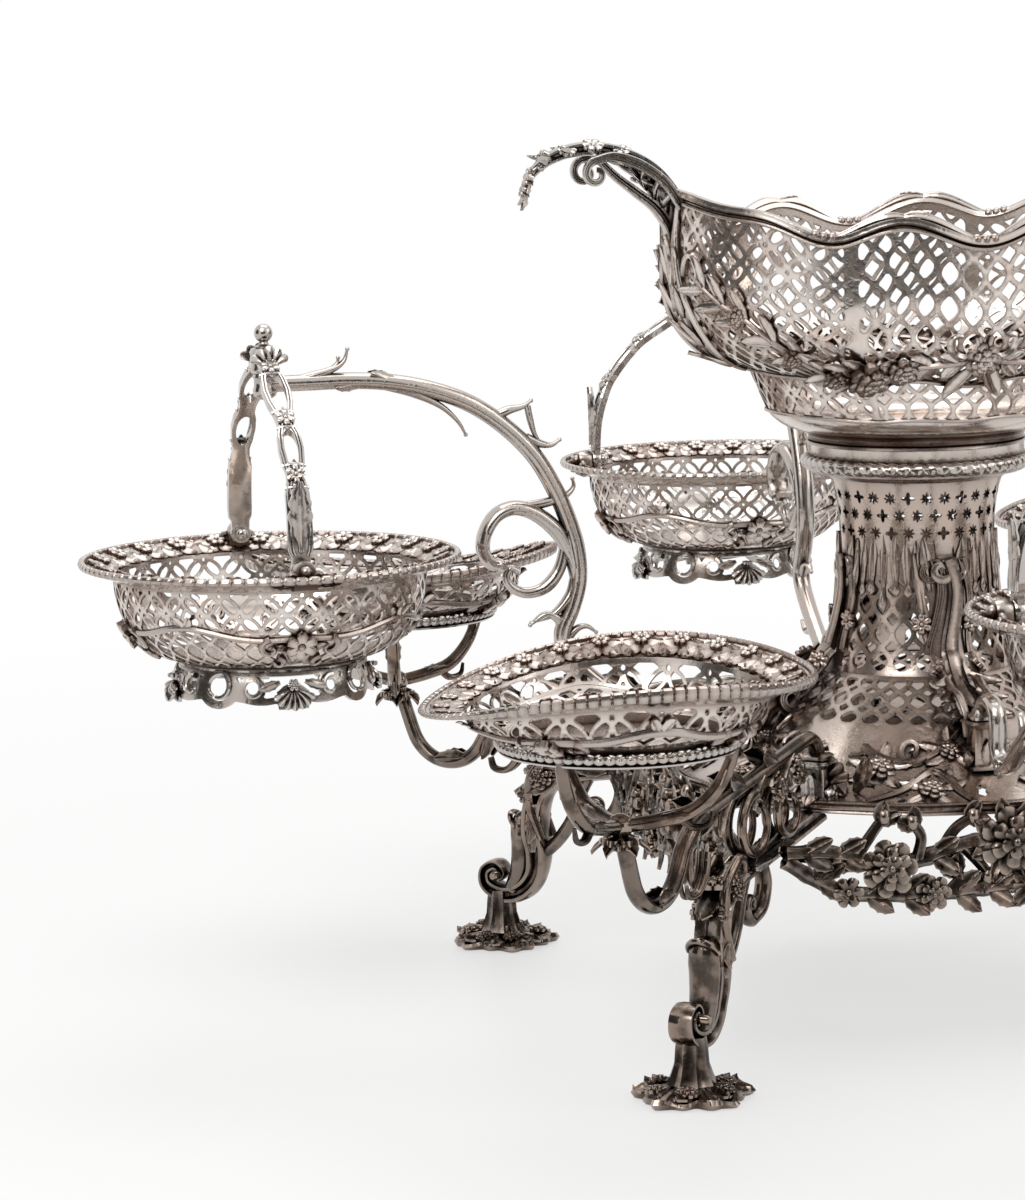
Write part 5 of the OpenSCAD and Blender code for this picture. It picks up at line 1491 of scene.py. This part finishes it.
def white_for_sight(nodes, links):
    """One for rays that look, straight or by a mirror, and nothing for rays that light."""
    path = nodes.new("ShaderNodeLightPath")
    seen = path.outputs["Is Camera Ray"]
    for key in ("Is Glossy Ray", "Is Transmission Ray"):
        n = nodes.new("ShaderNodeMath")
        n.operation = "MAXIMUM"
        links.new(seen, n.inputs[0])
        links.new(path.outputs[key], n.inputs[1])
        seen = n.outputs[0]
    return seen


floor_mesh = bpy.data.meshes.new("floor")
floor_mesh.from_pydata([(-6, -6, 0), (6, -6, 0), (6, 6, 0), (-6, 6, 0)], [], [(0, 1, 2, 3)])
floor = bpy.data.objects.new("floor", floor_mesh)
floor.location.z = -0.0005
bpy.context.scene.collection.objects.link(floor)
paint = bpy.data.materials.new("pale_floor")
paint.use_nodes = True
nodes, links = paint.node_tree.nodes, paint.node_tree.links
matt = nodes["Principled BSDF"]
matt.inputs["Base Color"].default_value = (0.93, 0.93, 0.92, 1)
matt.inputs["Roughness"].default_value = 0.45
place = nodes.new("ShaderNodeTexCoord")
away = nodes.new("ShaderNodeVectorMath")
away.operation = "LENGTH"
links.new(place.outputs["Object"], away.inputs[0])
fade = nodes.new("ShaderNodeMapRange")
fade.interpolation_type = "SMOOTHSTEP"
fade.inputs["From Min"].default_value, fade.inputs["From Max"].default_value = 0.25, 1.3
fade.inputs["To Min"].default_value = 0.6
links.new(away.outputs["Value"], fade.inputs["Value"])
blend = nodes.new("ShaderNodeMath")
blend.operation = "MULTIPLY"
links.new(fade.outputs["Result"], blend.inputs[0])
links.new(white_for_sight(nodes, links), blend.inputs[1])
glow = nodes.new("ShaderNodeEmission")
join = nodes.new("ShaderNodeMixShader")
links.new(blend.outputs[0], join.inputs[0])
links.new(matt.outputs[0], join.inputs[1])
links.new(glow.outputs[0], join.inputs[2])
links.new(join.outputs[0], nodes["Material Output"].inputs["Surface"])
floor_mesh.materials.append(paint)

scene = bpy.context.scene
scene.view_settings.view_transform = "Standard"
world = bpy.data.worlds.new("studio")
scene.world = world
world.use_nodes = True
nodes, links = world.node_tree.nodes, world.node_tree.links
lamp = nodes["Background"]
level = nodes.new("ShaderNodeMapRange")
level.inputs["To Min"].default_value, level.inputs["To Max"].default_value = 0.45, 1.0
links.new(white_for_sight(nodes, links), level.inputs["Value"])
lamp.inputs["Color"].default_value = (1, 1, 1, 1)
links.new(level.outputs["Result"], lamp.inputs["Strength"])

for name, spot, size, power in (("key", (-1.1, -1.2, 1.7), 1.4, 19), ("fill", (1.5, -0.9, 1.3), 1.4, 9),
                                ("top", (0.1, 0.5, 2.0), 1.6, 14)):
    data = bpy.data.lights.new(name, "AREA")
    data.size, data.energy = size, power
    o = bpy.data.objects.new(name, data)
    o.location = spot
    o.rotation_euler = (Vector((0, 0, 0.18)) - o.location).to_track_quat("-Z", "Y").to_euler()
    scene.collection.objects.link(o)

# Dark cards behind the camera, which only mirrors see, give the silver its contrast
for name, spot, wide, tall in (("card_front", (-0.7, -2.3, 0.75), 2.6, 1.7),
                               ("card_right", (2.3, -0.6, 0.8), 1.8, 1.6),
                               ("card_left", (-2.4, 0.1, 0.8), 1.6, 1.6)):
    mesh = bpy.data.meshes.new(name)
    w, h = wide / 2, tall / 2
    mesh.from_pydata([(-w, 0, -h), (w, 0, -h), (w, 0, h), (-w, 0, h)], [], [(0, 1, 2, 3)])
    card = bpy.data.objects.new(name, mesh)
    card.location = spot
    card.rotation_euler[2] = math.atan2(spot[1], spot[0]) + math.pi / 2
    scene.collection.objects.link(card)
    grey = bpy.data.materials.get("card_grey") or bpy.data.materials.new("card_grey")
    grey.use_nodes = True
    grey.node_tree.nodes["Principled BSDF"].inputs["Base Color"].default_value = (0.05, 0.045, 0.04, 1)
    mesh.materials.append(grey)
    card.visible_camera = card.visible_diffuse = card.visible_shadow = card.visible_transmission = False

AZIMUTH, PITCH, ROLL = math.radians(14.37), math.radians(-7.95), math.radians(-1.26)
ahead = np.array([math.sin(AZIMUTH) * math.cos(PITCH), math.cos(AZIMUTH) * math.cos(PITCH), math.sin(PITCH)])
right = unit(np.cross(ahead, Z))
up = np.cross(right, ahead)
right, up = right * math.cos(ROLL) + up * math.sin(ROLL), up * math.cos(ROLL) - right * math.sin(ROLL)
view = bpy.data.cameras.new("camera")
view.lens, view.sensor_width, view.clip_end = 127.85, 36, 50
camera = bpy.data.objects.new("camera", view)
BEARING, DISTANCE, EYE_Z = math.radians(-19.85), 1.8, 0.42176
stand = (math.sin(BEARING) * DISTANCE, -math.cos(BEARING) * DISTANCE, EYE_Z)
camera.matrix_world = Matrix([[*row, s] for row, s in zip(np.stack([right, up, -ahead], 1), stand)]
                             + [[0, 0, 0, 1]])
scene.collection.objects.link(camera)
scene.camera = camera
